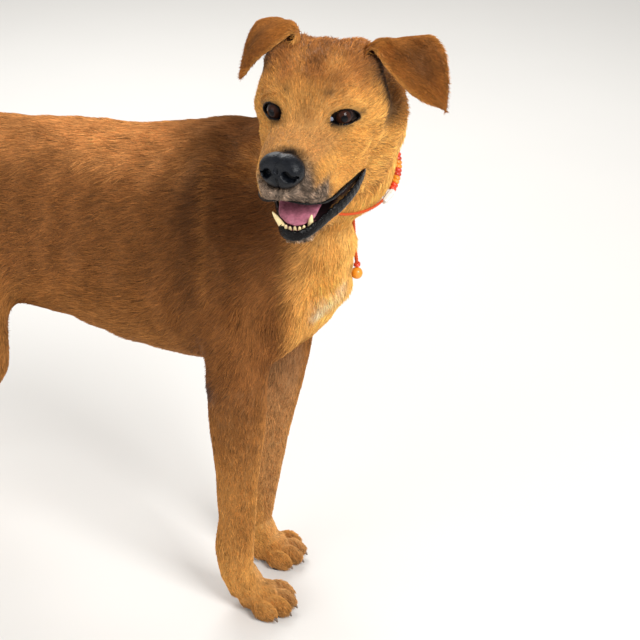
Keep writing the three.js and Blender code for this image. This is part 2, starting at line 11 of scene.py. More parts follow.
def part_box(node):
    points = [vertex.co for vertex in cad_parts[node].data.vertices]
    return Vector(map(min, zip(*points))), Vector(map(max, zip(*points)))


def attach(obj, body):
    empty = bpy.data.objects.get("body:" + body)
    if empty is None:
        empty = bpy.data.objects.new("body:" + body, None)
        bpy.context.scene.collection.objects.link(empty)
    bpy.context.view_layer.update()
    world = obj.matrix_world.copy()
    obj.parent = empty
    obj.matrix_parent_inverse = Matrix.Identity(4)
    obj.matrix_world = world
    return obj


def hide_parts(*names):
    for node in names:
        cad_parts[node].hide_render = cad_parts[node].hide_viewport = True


bl_info = {
    "name": "Tan Dog",
    "version": (1, 0, 0),
    "blender": (4, 5, 0),
    "location": "View3D > Sidebar > Tan Dog",
    "description": "Builds the skin, coat, face and collar of a standing tan dog",
    "category": "Add Mesh",
}

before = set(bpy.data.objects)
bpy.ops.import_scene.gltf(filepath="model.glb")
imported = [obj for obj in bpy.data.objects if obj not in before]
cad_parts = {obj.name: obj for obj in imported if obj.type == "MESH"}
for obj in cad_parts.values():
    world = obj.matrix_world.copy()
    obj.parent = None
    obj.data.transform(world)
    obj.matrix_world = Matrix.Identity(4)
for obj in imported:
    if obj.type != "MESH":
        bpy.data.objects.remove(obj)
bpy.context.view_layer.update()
MM = 0.001

FLESH = (
    "head", "lower_jaw", "neck", "chest", "belly", "rump", "tail",
    "shoulder_right", "forearm_right", "front_paw_right",
    "thigh_right", "shank_right", "hind_foot_right", "hind_paw_right",
    "shoulder_left", "forearm_left", "front_paw_left",
    "thigh_left", "shank_left", "hind_foot_left", "hind_paw_left",
)
PAWS = ("front_paw_right", "front_paw_left", "hind_paw_right", "hind_paw_left")
SIDES = (("right", -1), ("left", 1))


# ---- Where things are, worked out from the frame ----

def node_mesh(name):
    """Vertices and triangles of a CAD node, with vertices at one place joined."""
    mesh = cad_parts[name].data
    points = np.empty(len(mesh.vertices) * 3, np.float32)
    mesh.vertices.foreach_get("co", points)
    mesh.calc_loop_triangles()
    faces = np.empty(len(mesh.loop_triangles) * 3, np.int32)
    mesh.loop_triangles.foreach_get("vertices", faces)
    points, back = np.unique(points.reshape(-1, 3).round(6), axis=0, return_inverse=True)
    return points.astype(float), back.reshape(-1)[faces].reshape(-1, 3)


def unit(v):
    """Vectors scaled to length one."""
    v = np.asarray(v, float)
    return v / np.maximum(np.linalg.norm(v, axis=-1, keepdims=True), 1e-12)


def centre(name):
    """Mean of a node's corners."""
    return node_mesh(name)[0].mean(0)


class HeadFrame:
    """The head's own frame: forward, left, up, in metres. It is worked out from the two
    eyeballs, whose middle is `FROM_ORIGIN` away from the frame's origin."""

    FROM_ORIGIN = np.array([-7.0, -1.8, 0.8]) * MM

    def __init__(self):
        right, left = centre("eye_right"), centre("eye_left")
        self.up = np.array([0.0, 0.0, 1.0])
        self.left = unit(left - right)
        self.forward = unit(np.cross(self.left, self.up))
        self.axes = np.stack([self.forward, self.left, self.up])
        self.origin = (left + right) / 2 - self.FROM_ORIGIN @ self.axes

    def out(self, points_mm):
        """Millimetres in the head's frame to metres in the row's frame."""
        return self.origin + np.asarray(points_mm, float) * MM @ self.axes

    def into(self, points):
        """Metres in the row's frame to millimetres in the head's frame."""
        return (np.asarray(points) - self.origin) @ self.axes.T / MM

    def turn(self, vectors):
        """Directions in the head's frame to the row's frame."""
        return np.asarray(vectors, float) @ self.axes


HEAD = HeadFrame()
BELLY_FRONT = -222.0 * MM  # the front of the belly in the body's own frame
BODY_ORIGIN = np.array([
    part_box("belly")[1].x - BELLY_FRONT,
    (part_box("shoulder_right")[0].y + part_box("shoulder_left")[1].y) / 2, 0.0])


def body(points_mm):
    """Millimetres in the body's frame (forward, left, up) to metres in the row's frame."""
    return BODY_ORIGIN + np.asarray(points_mm, float) * MM


def into_body(points):
    """Metres in the row's frame to millimetres in the body's frame."""
    return (points - BODY_ORIGIN) / MM


def ramp(x, low, high):
    """0 below low, 1 above high, smooth between."""
    t = np.clip((x - low) / (high - low), 0, 1)
    return t * t * (3 - 2 * t)


# ---- Distance fields of the flesh ----

class Field:
    """Signed distance to the joined flesh nodes on a grid of cubes, smoothed by a Gaussian.
    The hair-thin parting cuts between the nodes are closed first."""

    BAND = 4.0  # reach of the distances, in cells
    CLOSED = 0.3 * MM  # how far outside a solid still counts as flesh, to close the cuts

    def __init__(self, nodes, low, high, cell, sigma, plugs=()):
        self.low, self.cell = np.asarray(low, float), cell
        shape = np.ceil((np.asarray(high) - self.low) / cell).astype(int) + 1
        points, faces, start = [], [], 0
        for name in nodes:
            p, f = node_mesh(name)
            points.append(p)
            faces.append(f + start)
            start += len(p)
        points = ((np.concatenate(points) - self.low) / cell).astype(np.float32)
        level = openvdb.FloatGrid.createLevelSetFromPolygons(
            points, triangles=np.concatenate(faces).astype(np.uint32),
            transform=openvdb.createLinearTransform(voxelSize=1.0), halfWidth=self.BAND)
        values = np.full(shape, self.BAND, np.float32)
        level.copyToArray(values)
        depth = values < self.CLOSED / cell + 0.05
        for step in range(1, int(self.BAND)):
            depth = self.shrunk(depth)
            values = np.where(depth, np.minimum(values, -step), values)
        for middle, radius in plugs:
            self.fill(values, (middle - self.low) / cell, radius / cell)
        self.values = self.blurred(values, sigma / cell) * cell

    def fill(self, values, middle, radius):
        """Adds a ball to the flesh, working on the block of cells round it."""
        first = np.maximum(np.floor(middle - radius - self.BAND).astype(int), 0)
        last = np.minimum(np.ceil(middle + radius + self.BAND).astype(int) + 1, values.shape)
        block = tuple(slice(a, b) for a, b in zip(first, last))
        steps = (np.arange(a, b) for a, b in zip(first, last))
        place = np.stack(np.meshgrid(*steps, indexing="ij"), -1)
        reach = np.linalg.norm(place - middle, axis=-1) - radius
        values[block] = np.minimum(values[block], np.clip(reach, -self.BAND, self.BAND))

    @staticmethod
    def shrunk(mask):
        """A mask drawn in by one cell all round."""
        out = mask.copy()
        for axis in range(3):
            for shift in (1, -1):
                out &= np.roll(mask, shift, axis)
        return out

    @staticmethod
    def blurred(values, sigma):
        """A Gaussian blur, one axis after another."""
        reach = max(1, int(math.ceil(2.5 * sigma)))
        weights = np.exp(-0.5 * (np.arange(-reach, reach + 1) / sigma) ** 2)
        weights /= weights.sum()
        for axis in range(3):
            edge = [(reach, reach) if a == axis else (0, 0) for a in range(3)]
            wide = np.pad(values, edge, mode="edge")
            size = values.shape[axis]
            values = sum(w * np.take(wide, np.arange(k, k + size), axis).astype(np.float32)
                         for k, w in enumerate(weights))
        return values

    def at(self, points):
        """The field and its slope at points, by trilinear interpolation."""
        g = (points - self.low) / self.cell
        base = np.clip(np.floor(g).astype(int), 0, np.array(self.values.shape) - 2)
        t = np.clip(g - base, 0, 1)
        corner = {}
        for i in (0, 1):
            for j in (0, 1):
                for k in (0, 1):
                    corner[i, j, k] = self.values[base[:, 0] + i, base[:, 1] + j, base[:, 2] + k]
        x, y, z = t.T
        wx, wy, wz = (1 - x, x), (1 - y, y), (1 - z, z)
        value = np.zeros(len(points))
        slope = np.zeros((len(points), 3))
        for (i, j, k), c in corner.items():
            value += wx[i] * wy[j] * wz[k] * c
            slope[:, 0] += (2 * i - 1) * wy[j] * wz[k] * c
            slope[:, 1] += (2 * j - 1) * wx[i] * wz[k] * c
            slope[:, 2] += (2 * k - 1) * wx[i] * wy[j] * c
        return value, slope / self.cell


def contour(field, level):
    """Quads of the surface where the field equals `level`, split into triangles."""
    grid = openvdb.FloatGrid(float(field.BAND * field.cell))
    grid.copyFromArray(field.values)
    points, quads = grid.convertToQuads(isovalue=level)
    quads = quads.astype(np.int64)
    faces = np.concatenate([quads[:, [0, 1, 2]], quads[:, [0, 2, 3]]])
    points = points.astype(float) * field.cell + field.low
    a, b, c = (points[faces[:, k]] for k in range(3))
    normal = unit(np.cross(b - a, c - a))
    slope = field.at((a + b + c) / 3)[1]
    if (normal * slope).sum() < 0:
        faces = faces[:, ::-1]
    return points, faces


def edge_table(faces):
    """Unique edges and, for every face side, which edge it is."""
    sides = np.concatenate([faces[:, [0, 1]], faces[:, [1, 2]], faces[:, [2, 0]]])
    edges, which = np.unique(np.sort(sides, axis=1), axis=0, return_inverse=True)
    return edges, which.reshape(3, -1).T


def refined(points, faces, wanted):
    """Splits the edges of the wanted faces at their middles; neighbours are split to fit."""
    edges, which = edge_table(faces)
    split = np.zeros(len(edges), bool)
    split[which[wanted].reshape(-1)] = True
    middle = np.full(len(edges), -1)
    middle[split] = len(points) + np.arange(split.sum())
    points = np.concatenate([points, points[edges[split]].mean(1)])
    marks = split[which]
    kept = [faces[~marks.any(1)]]
    for count in (1, 2, 3):
        for turn in range(3 if count < 3 else 1):
            order = (np.arange(3) + turn) % 3
            pattern = np.zeros(3, bool)
            pattern[order[:count]] = True
            rows = (marks == pattern).all(1)
            a, b, c = faces[rows][:, order].T
            ab, bc, ca = middle[which[rows][:, order]].T
            if count == 1:
                new = [(a, ab, c), (ab, b, c)]
            elif count == 2:
                new = [(ab, b, bc), (a, ab, c), (ab, bc, c)]
            else:
                new = [(a, ab, ca), (ab, b, bc), (ca, bc, c), (ab, bc, ca)]
            kept += [np.stack(t, 1) for t in new]
    return points, np.concatenate(kept)


def relaxed(points, faces, normals, amount):
    """Moves each vertex along the surface towards the mean of its neighbours."""
    edges, _ = edge_table(faces)
    a, b = edges.T
    total = np.zeros_like(points)
    count = np.bincount(edges.reshape(-1), minlength=len(points))[:, None]
    for axis in range(3):
        total[:, axis] = (np.bincount(a, points[b, axis], len(points))
                          + np.bincount(b, points[a, axis], len(points)))
    move = total / np.maximum(count, 1) - points
    move -= (move * normals).sum(1, keepdims=True) * normals
    return points + amount * move


def face_normals(points, faces):
    """Normal of each face, twice its area long."""
    a, b, c = (points[faces[:, k]] for k in range(3))
    return np.cross(b - a, c - a)


def vertex_normals(points, faces):
    """Area-weighted mean of the faces round each vertex."""
    area = face_normals(points, faces)
    out = np.zeros_like(points)
    for k in range(3):
        for axis in range(3):
            out[:, axis] += np.bincount(faces[:, k], area[:, axis], len(points))
    return unit(out)


# ---- Zones of the body that skin, coat and markings share ----

def head_weight(points):
    """1 on the head, 0 on the neck and body, smooth behind the skull and under the throat."""
    f, l, u = HEAD.into(points).T
    return ramp(f, -132, -96) * ramp(u, -128, -100) * ramp(-np.abs(l), -116, -88)


def paw_weight(points):
    """1 on the paws, 0 above the pasterns."""
    return 1 - ramp(points[:, 2], 60 * MM, 84 * MM)


def leg_weight(points):
    """1 on the legs below elbow and knee, 0 on the trunk."""
    return 1 - ramp(points[:, 2], 285 * MM, 345 * MM)


def coat_depth(points, sizes):
    """Depth of the coat over the skin, in metres: deepest on neck and trunk."""
    depth = sizes.body_depth + (sizes.leg_depth - sizes.body_depth) * leg_weight(points)
    depth = depth + (sizes.paw_depth - depth) * paw_weight(points)
    return depth + (sizes.face_depth - depth) * head_weight(points)


def box_round(nodes, margin):
    """Corners of the box round some nodes, with a margin in metres."""
    low = np.min([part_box(n)[0] for n in nodes], axis=0) - margin
    high = np.max([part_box(n)[1] for n in nodes], axis=0) + margin
    return low, high


class Flesh:
    """The smooth field of the whole dog: one coarse grid, with finer grids for the head and
    for each paw that take over there."""

    SOCKET = 3.2 * MM  # flesh round each eyeball, before the lids are opened
    LONGEST, FLATTEST = 2 * MM, 0.09  # longest single move, least slope that a move counts on

    def __init__(self, sizes):
        low, high = box_round(FLESH, 0.03)
        plugs = [(centre("eye_" + name), sizes.eyeball + self.SOCKET) for name, _ in SIDES]
        plugs += flews()
        self.trunk = Field(FLESH, low, high, sizes.trunk_cell, sizes.leg_blur, plugs)
        self.broad = Field(FLESH, low, high, sizes.trunk_cell, sizes.trunk_blur)
        low, high = box_round(("head", "lower_jaw"), 0.02)
        nodes = ("head", "lower_jaw", "neck")
        self.head = Field(nodes, low, high, sizes.head_cell, sizes.head_blur, plugs)
        self.paws = []
        for name in PAWS:
            leg = name.replace("front_paw", "forearm").replace("hind_paw", "hind_foot")
            low, high = (np.array(c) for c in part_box(name))
            low, high = low - 0.014, high + (0.014, 0.014, 0.034)
            field = Field((name, leg), low, high, sizes.head_cell, sizes.paw_blur)
            self.paws.append((low, high, field))

    def at(self, points):
        """Value and slope of the blended field."""
        value, slope = self.trunk.at(points)

        def mix(rows, field, weight):
            v, s = field.at(points[rows])
            w = weight[rows]
            value[rows] += w * (v - value[rows])
            slope[rows] += w[:, None] * (s - slope[rows])

        weight = 1 - leg_weight(points)
        mix(np.nonzero(weight > 0)[0], self.broad, weight)
        weight = head_weight(points)
        mix(np.nonzero(weight > 0)[0], self.head, weight)
        weight = paw_weight(points)
        for low, high, field in self.paws:
            near = ((points > low) & (points < high)).all(1) & (weight > 0)
            mix(np.nonzero(near)[0], field, weight)
        return value, slope

    def settled(self, points, faces, sizes, rounds, easing):
        """Vertices brought to the depth of the coat under the flesh, and evened out."""
        for _ in range(rounds):
            for _ in range(2):
                value, slope = self.at(points)
                wanted = -coat_depth(points, sizes)
                steep = np.maximum((slope ** 2).sum(1), self.FLATTEST)
                step = (wanted - value) / steep
                move = step[:, None] * slope
                length = np.linalg.norm(move, axis=1, keepdims=True)
                points = points + move * np.minimum(1, self.LONGEST / np.maximum(length, 1e-9))
            points = relaxed(points, faces, vertex_normals(points, faces), easing)
        return points


FINE_HEAD = 0.55  # weight of the head above which the skin's faces are split
FINE_FEET = 52 * MM  # height below which they are split on the feet


def round_eyes(points, aside, reach):
    """Places within `reach` of a middle that lies `aside` of the head's own, on its front."""
    f, l, u = HEAD.into(points).T
    return (np.hypot(np.abs(l + 1.8) - aside, u - 1) < reach) & (f > -34)


def round_mouth(points):
    """Places round the lips and the open mouth."""
    f, l, u = HEAD.into(points).T
    return (f > -28) & (u < -38) & (u > -96) & (np.abs(l) < 58)


def skin_surface(sizes):
    """The whole skin as one closed surface: a contour of the coarse field, split finer on the
    head, the paws and round eyes and mouth, then brought onto the blended field."""
    flesh = Flesh(sizes)
    points, faces = contour(flesh.trunk, -sizes.body_depth)
    points, faces = largest(points, faces)
    points = flesh.settled(points, faces, sizes, 2, 0.5)
    middle = points[faces].mean(1)
    fine = (head_weight(middle) > FINE_HEAD) | (middle[:, 2] < FINE_FEET)
    points, faces = refined(points, faces, fine)
    points = flesh.settled(points, faces, sizes, 3, 0.4)
    middle = points[faces].mean(1)
    points, faces = refined(points, faces, round_eyes(middle, 34, 20) | round_mouth(middle))
    points = flesh.settled(points, faces, sizes, 3, 0.3)
    points, faces = refined(points, faces, round_eyes(points[faces].mean(1), 35, 16))
    points = flesh.settled(points, faces, sizes, 2, 0.3)
    return points, faces


def largest(points, faces):
    """Keeps the largest connected shell, dropping any closed bubble inside it."""
    label = np.arange(len(points))
    edges, _ = edge_table(faces)
    a, b = edges.T
    while True:
        low = np.minimum(label[a], label[b])
        new = label.copy()
        np.minimum.at(new, a, low)
        np.minimum.at(new, b, low)
        new = new[new]
        if (new == label).all():
            break
        label = new
    names, counts = np.unique(label, return_counts=True)
    keep = label == names[counts.argmax()]
    index = np.cumsum(keep) - 1
    faces = faces[keep[faces].all(1)]
    return points[keep], index[faces]


# ---- Meshes and pieces ----

def make_mesh(name, points, faces, smooth=True):
    """A mesh from arrays: vertices in metres, and triangles or quads of one kind."""
    mesh = bpy.data.meshes.new(name)
    count, sides = faces.shape
    mesh.vertices.add(len(points))
    mesh.vertices.foreach_set("co", np.ascontiguousarray(points, np.float32).reshape(-1))
    mesh.loops.add(count * sides)
    mesh.loops.foreach_set("vertex_index", np.ascontiguousarray(faces, np.int32).reshape(-1))
    mesh.polygons.add(count)
    mesh.polygons.foreach_set("loop_start", np.arange(0, count * sides, sides, dtype=np.int32))
    mesh.update(calc_edges=True)
    mesh.shade_smooth() if smooth else mesh.shade_flat()
    return mesh


def piece(name, mesh, material, replaces=()):
    """Puts a mesh in the scene as a piece that rides on the dog."""
    obj = bpy.data.objects.new(name, mesh)
    bpy.context.scene.collection.objects.link(obj)
    mesh.materials.append(material)
    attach(obj, "root")
    if replaces:
        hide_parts(*replaces)
    return obj


def plain_piece(name, surface, material, replaces=()):
    """A piece made from the vertices and faces of a surface alone."""
    return piece(name, make_mesh(name, *surface), material, replaces)


def set_attribute(mesh, name, values, kind="FLOAT"):
    """Stores one value or one colour for each vertex."""
    layer = mesh.attributes.new(name, kind, "POINT")
    if kind == "FLOAT_COLOR":
        values = np.concatenate([values, np.ones((len(values), 1))], 1)
        layer.data.foreach_set("color", values.astype(np.float32).reshape(-1))
    else:
        layer.data.foreach_set("value", values.astype(np.float32))


# ---- Shapes worked out as arrays ----

def through(points, count):
    """Evenly many points on a smooth curve through the given ones (Catmull-Rom)."""
    p = np.asarray(points, float)
    p = np.concatenate([2 * p[:1] - p[1:2], p, 2 * p[-1:] - p[-2:-1]])
    t = np.linspace(0, len(p) - 3, count)
    k = np.minimum(t.astype(int), len(p) - 4)
    u = (t - k).reshape((-1,) + (1,) * (p.ndim - 1))
    a, b, c, d = p[k], p[k + 1], p[k + 2], p[k + 3]
    return b + 0.5 * u * (c - a + u * (2 * a - 5 * b + 4 * c - d + u * (3 * (b - c) + d - a)))


def outward(points, faces):
    """Turns the faces over where they enclose a negative volume."""
    a, b, c = (points[faces[:, k]] for k in range(3))
    return faces if (a * np.cross(b, c)).sum() > 0 else faces[:, ::-1]


def net(rows, around, wrap_rows=False):
    """Triangles of a grid that is closed across its columns, and along its rows if asked."""
    i, j = np.meshgrid(np.arange(rows if wrap_rows else rows - 1), np.arange(around), indexing="ij")
    a, b = i * around + j, i * around + (j + 1) % around
    c, d = (i + 1) % rows * around + j, (i + 1) % rows * around + (j + 1) % around
    halves = [np.stack(corners, -1).reshape(-1, 3) for corners in ((a, b, d), (a, d, c))]
    return np.concatenate(halves)


def shell(rings):
    """A closed surface through rings of points, with one point to close each end."""
    rows, around, _ = rings.shape
    points = np.concatenate([rings.reshape(-1, 3), rings[:1].mean(1), rings[-1:].mean(1)])
    k = np.arange(around)
    n = (k + 1) % around
    last = (rows - 1) * around
    ends = [np.stack([n, k, np.full(around, rows * around)], 1),
            np.stack([k + last, n + last, np.full(around, rows * around + 1)], 1)]
    faces = np.concatenate([net(rows, around)] + ends)
    return points, outward(points, faces)


def hoop(rings):
    """A closed surface through rings that come back to the first one."""
    points = rings.reshape(-1, 3)
    return points, outward(points, net(rings.shape[0], rings.shape[1], True))


def sections(path, half_wide, half_tall, up, sides, power=1.0, closed=False):
    """Ovals square to a path: half_wide to each side and half_tall along `up`. A power
    under 1 squares the ovals off."""
    path = np.asarray(path, float)
    along = np.roll(path, -1, 0) - np.roll(path, 1, 0) if closed else np.gradient(path, axis=0)
    along = unit(along)
    up = np.broadcast_to(np.asarray(up, float), path.shape)
    across = unit(np.cross(along, up))
    up = np.cross(across, along)
    angle = np.arange(sides) / sides * math.tau
    c, s = np.cos(angle), np.sin(angle)
    c, s = np.sign(c) * np.abs(c) ** power, np.sign(s) * np.abs(s) ** power
    wide = np.broadcast_to(half_wide, len(path))[:, None, None]
    tall = np.broadcast_to(half_tall, len(path))[:, None, None]
    return (path[:, None] + wide * c[None, :, None] * across[:, None]
            + tall * s[None, :, None] * up[:, None])


def rounded(count):
    """Widths along a tube that starts and ends as a half round: 0 to 1 to 0."""
    t = np.linspace(-1, 1, count)
    return np.sqrt(np.clip(1 - np.abs(t) ** 8, 0.0, 1)) * 0.98 + 0.02


def ball(rows=24, sides=32):
    """Unit directions on a sphere whose poles lie on its first axis, as rings."""
    polar = (np.arange(rows) + 0.5) / rows * math.pi
    angle = np.arange(sides) / sides * math.tau
    return np.stack([
        np.broadcast_to(np.cos(polar)[:, None], (rows, sides)),
        np.sin(polar)[:, None] * np.cos(angle), np.sin(polar)[:, None] * np.sin(angle)], -1)


def joined(parts):
    """Several closed surfaces in one, with the number of the part that each vertex is in."""
    points, faces, label, start = [], [], [], 0
    for number, (p, f) in enumerate(parts):
        points.append(p)
        faces.append(f + start)
        label.append(np.full(len(p), number))
        start += len(p)
    return np.concatenate(points), np.concatenate(faces), np.concatenate(label)


# ---- Sizes and colours a user would change ----

def shade(red, green, blue):
    """A display colour written 0 to 255, as a property holds it."""
    return (red / 255, green / 255, blue / 255)


def a_length(name, description, default):
    return FloatProperty(name=name, description=description, default=default, min=1e-4, max=0.2,
                         precision=4, unit="LENGTH")


def a_colour(name, description, default):
    return FloatVectorProperty(name=name, description=description, default=default,
                               subtype="COLOR_GAMMA", size=3, min=0, max=1)


class DogSizes(bpy.types.PropertyGroup):
    """Sizes of skin, coat and eyes."""
    body_depth: a_length("Body coat depth", "Depth of the coat over the skin on neck and trunk", 0.0026)
    leg_depth: a_length("Leg coat depth", "Depth of the coat over the skin on the legs", 0.0016)
    paw_depth: a_length("Paw coat depth", "Depth of the coat over the skin on the paws", 0.0010)
    face_depth: a_length("Face coat depth", "Depth of the coat over the skin on the head", 0.0013)
    trunk_cell: a_length("Body cell", "Cell of the grid that smooths the body", 0.005)
    head_cell: a_length("Head cell", "Cell of the grids that smooth head and paws", 0.0016)
    trunk_blur: a_length("Body smoothing", "Reach of the smoothing on neck and trunk", 0.0095)
    leg_blur: a_length("Leg smoothing", "Reach of the smoothing on the legs", 0.005)
    head_blur: a_length("Head smoothing", "Reach of the smoothing on the head", 0.0030)
    paw_blur: a_length("Paw smoothing", "Reach of the smoothing on the paws", 0.0015)
    trunk_hair: a_length("Body hair", "Length of the tufts on the trunk", 0.0135)
    leg_hair: a_length("Leg hair", "Length of the tufts on the legs", 0.0085)
    paw_hair: a_length("Paw hair", "Length of the tufts on the paws", 0.0055)
    face_hair: a_length("Face hair", "Length of the tufts on the face", 0.0052)
    ear_hair: a_length("Ear hair", "Length of the tufts on the ears", 0.0060)
    hair_width: a_length("Tuft width", "Width of the longest tufts at their root", 0.0012)
    eyeball: a_length("Eye radius", "Radius of the eyeballs", 0.0108)
    ear_hairs: IntProperty(name="Tufts on an ear", description="Tufts on each ear",
                           default=14000, min=100, max=49900)
    hairs: IntProperty(name="Tufts in a piece", description="Tufts in each full piece of the coat",
                       default=49000, min=100, max=49900)
    seed: IntProperty(name="Seed", description="Seed of the coat's random places", default=7, min=0)


class DogColours(bpy.types.PropertyGroup):
    """Colours of coat, face, eyes and collar."""
    flank: a_colour("Flank", "Coat on the sides and belly", shade(143, 92, 46))
    # Paler along the back: partly the coat's own colour, partly painted sunlight.
    back: a_colour("Back", "Coat along the back", shade(206, 143, 82))
    # Darker over the shoulder blades: partly the coat's own colour, partly painted shade.
    shoulder: a_colour("Shoulder", "Coat over the shoulder blades", shade(108, 66, 32))
    rump: a_colour("Rump", "Coat on rump and thighs", shade(192, 130, 68))
    leg: a_colour("Leg", "Coat on the legs", shade(186, 130, 66))
    pale: a_colour("Inner leg", "Coat on the inner sides of the legs", shade(214, 174, 132))
    breast: a_colour("Breast", "Coat on neck, throat and breast", shade(238, 180, 96))
    white: a_colour("White", "The small white breast mark", shade(232, 216, 190))
    # The dark tint: real dark marks on the brows, and painted shade under the ears, in the hollow of
    # the breast, behind the shoulder blades and in the hollows and roots of the ears; it also darkens
    # the feet towards the floor.
    dark_and_shade: a_colour("Dark", "Dark marks on brow, temple and breast", shade(58, 40, 30))
    scar: a_colour("Scar", "Old scar across the right forearm", shade(146, 112, 108))
    callus: a_colour("Callus", "Bare dark skin at the elbow", shade(84, 64, 60))
    face: a_colour("Face", "Coat on cheeks and muzzle", shade(218, 160, 82))
    crown: a_colour("Crown", "Coat on forehead and skull", shade(160, 101, 48))
    bridge: a_colour("Bridge", "Coat on top of the muzzle", shade(190, 138, 80))
    brow: a_colour("Brow", "Paler coat above the eyes", shade(210, 150, 78))
    rim: a_colour("Rim", "Black skin round eyes, nose and lips", shade(34, 27, 25))
    lip: a_colour("Lip", "Bare edge of the lips", shade(12, 10, 11))
    lining: a_colour("Lining", "Inside of the mouth", shade(46, 25, 29))
    grey: a_colour("Grey", "Grizzled coat round nose and lips", shade(116, 108, 103))
    ear: a_colour("Ear", "Coat on the backs of the ears", shade(154, 96, 40))
    ear_inside: a_colour("Ear inside", "Skin inside the ears", shade(170, 118, 92))
    nose: a_colour("Nose", "Nose leather", shade(12, 15, 21))
    tongue: a_colour("Tongue", "Tongue", shade(170, 102, 118))
    gum: a_colour("Gum", "Gum and lining of the mouth", shade(122, 76, 84))
    tooth: a_colour("Teeth", "Teeth", shade(228, 202, 152))
    # The haw's pale blue-grey: partly its own colour, partly painted reflection.
    haw_and_reflection: a_colour("Haw", "Fold in the inner corner of the eyes", shade(128, 134, 150))
    iris: a_colour("Iris", "Iris", shade(50, 26, 18))
    claw: a_colour("Claw", "Claws", shade(120, 104, 92))
    pad: a_colour("Pad", "Pads of the feet", shade(52, 44, 42))
    bead_red: a_colour("Red bead", "Red beads of the collar", shade(214, 62, 26))
    # Yellow: the hanging bead's own colour, and on the collar partly painted highlight on every other
    # pair of beads.
    bead_yellow_and_highlight: a_colour("Yellow bead", "Yellow beads of the collar", shade(240, 148, 34))
    cord: a_colour("Cord", "Cord of the collar", shade(214, 84, 26))
    clip: a_colour("Clip", "Clip of the collar", shade(232, 228, 220))
    floor: a_colour("Floor", "Studio floor", shade(226, 224, 220))


def sizes():
    """The sizes as they stand in the scene."""
    return bpy.context.scene.dog_sizes


def colours():
    """The colours as they stand in the scene."""
    return bpy.context.scene.dog_colours


# ---- Materials ----

class Finish:
    """A material: its Principled shader with plain values set on its own sockets, and nodes
    added one at a time."""

    MIX_FACTOR, MIX_FIRST, MIX_SECOND, MIX_RESULT = 0, 6, 7, 2

    def __init__(self, name, **values):
        self.material = bpy.data.materials.new(name)
        self.material.use_nodes = True
        self.tree = self.material.node_tree
        self.shader = next(n for n in self.tree.nodes if n.type == "BSDF_PRINCIPLED")
        for socket, value in values.items():
            self.feed(self.shader.inputs[socket.replace("_", " ")], value)

    def feed(self, socket, value):
        """Links a socket to another node's output, or sets its plain value."""
        if isinstance(value, bpy.types.NodeSocket):
            self.tree.links.new(value, socket)
        elif np.ndim(value) and len(value) == 3 and len(socket.default_value) == 4:
            socket.default_value = (*value, 1)
        else:
            socket.default_value = value

    def node(self, kind, inputs=None, **settings):
        """A node of one kind with its settings, and its inputs by name or number."""
        new = self.tree.nodes.new("ShaderNode" + kind)
        for key, value in settings.items():
            setattr(new, key, value)
        for socket, value in (inputs or {}).items():
            self.feed(new.inputs[socket], value)
        return new

    def place(self):
        return self.node("TexCoord").outputs["Object"]

    def noise(self, scale, detail=3.0, rough=0.55, place=None):
        """Fractal noise, 0 to 1, with its scale in cells to the metre."""
        return self.node("TexNoise", {"Vector": place or self.place(), "Scale": scale,
                                      "Detail": detail, "Roughness": rough}).outputs["Fac"]

    def spread(self, value, low, high, to_low=0.0, to_high=1.0):
        """A value carried from one range to another, kept between its ends."""
        return self.node("MapRange", {"Value": value, "From Min": low, "From Max": high,
                                      "To Min": to_low, "To Max": to_high}).outputs["Result"]

    def mix(self, factor, first, second, blend="MIX"):
        """Two colours mixed. A Mix node has its colours on the sockets named here."""
        new = self.node("Mix", data_type="RGBA", blend_type=blend)
        self.feed(new.inputs[self.MIX_FACTOR], factor)
        self.feed(new.inputs[self.MIX_FIRST], first)
        self.feed(new.inputs[self.MIX_SECOND], second)
        return new.outputs[self.MIX_RESULT]

    def flecked(self, colour, scale, detail, low, high):
        """A colour made darker and lighter from place to place by fine noise."""
        fleck = self.spread(self.noise(scale, detail), 0.3, 0.7, low, high)
        grey = self.node("CombineColor", {0: fleck, 1: fleck, 2: fleck}).outputs[0]
        return self.mix(1.0, colour, grey, "MULTIPLY")

    def colour(self, value):
        self.feed(self.shader.inputs["Base Color"], value)

    def rough(self, value):
        self.feed(self.shader.inputs["Roughness"], value)

    def bump(self, height, strength, distance):
        """Bump from a height, in metres of distance."""
        new = self.node("Bump", {"Height": height, "Strength": strength, "Distance": distance})
        self.feed(self.shader.inputs["Normal"], new.outputs["Normal"])

    def attribute(self, name):
        return self.node("Attribute", attribute_name=name).outputs["Color"]


def coat_finish(name, roughness):
    """Hair: the markings held by the mesh, with fine light and dark flecks."""
    f = Finish(name, Roughness=roughness, Specular_IOR_Level=0.16, Sheen_Weight=0.03,
               Sheen_Roughness=0.5)
    f.colour(f.flecked(f.attribute("marks"), 420, 2.0, 0.86, 1.12))
    return f.material


def skin_finish(name):
    """Skin under the coat: the same markings, with short flat hair as fine bump."""
    f = Finish(name, Roughness=0.7, Specular_IOR_Level=0.25)
    f.colour(f.flecked(f.attribute("marks"), 700, 4.0, 0.74, 1.08))
    f.bump(f.noise(1100, 3.0), 0.5, 0.0006)
    return f.material


def leather_finish(name, colour, grain, roughness, bump=0.0006, shine=0.22):
    """Bare wet or dry leather: pebbled cells with a soft mottle."""
    f = Finish(name, Roughness=roughness, Specular_IOR_Level=shine)
    cells = f.node("TexVoronoi", {"Vector": f.place(), "Scale": grain}).outputs["Distance"]
    mottle = f.spread(f.noise(grain / 6, 3.0), 0.3, 0.7)
    base = linear(colour)
    f.colour(f.mix(mottle, tuple(base * 0.7), tuple(np.minimum(base * 1.35, 1))))
    f.rough(f.spread(f.noise(grain / 3, 2.0), 0.3, 0.7, roughness * 0.8, roughness * 1.3))
    f.bump(cells, 0.6, bump)
    return f.material


# ---- Markings: one function of place that skin and coat both use ----

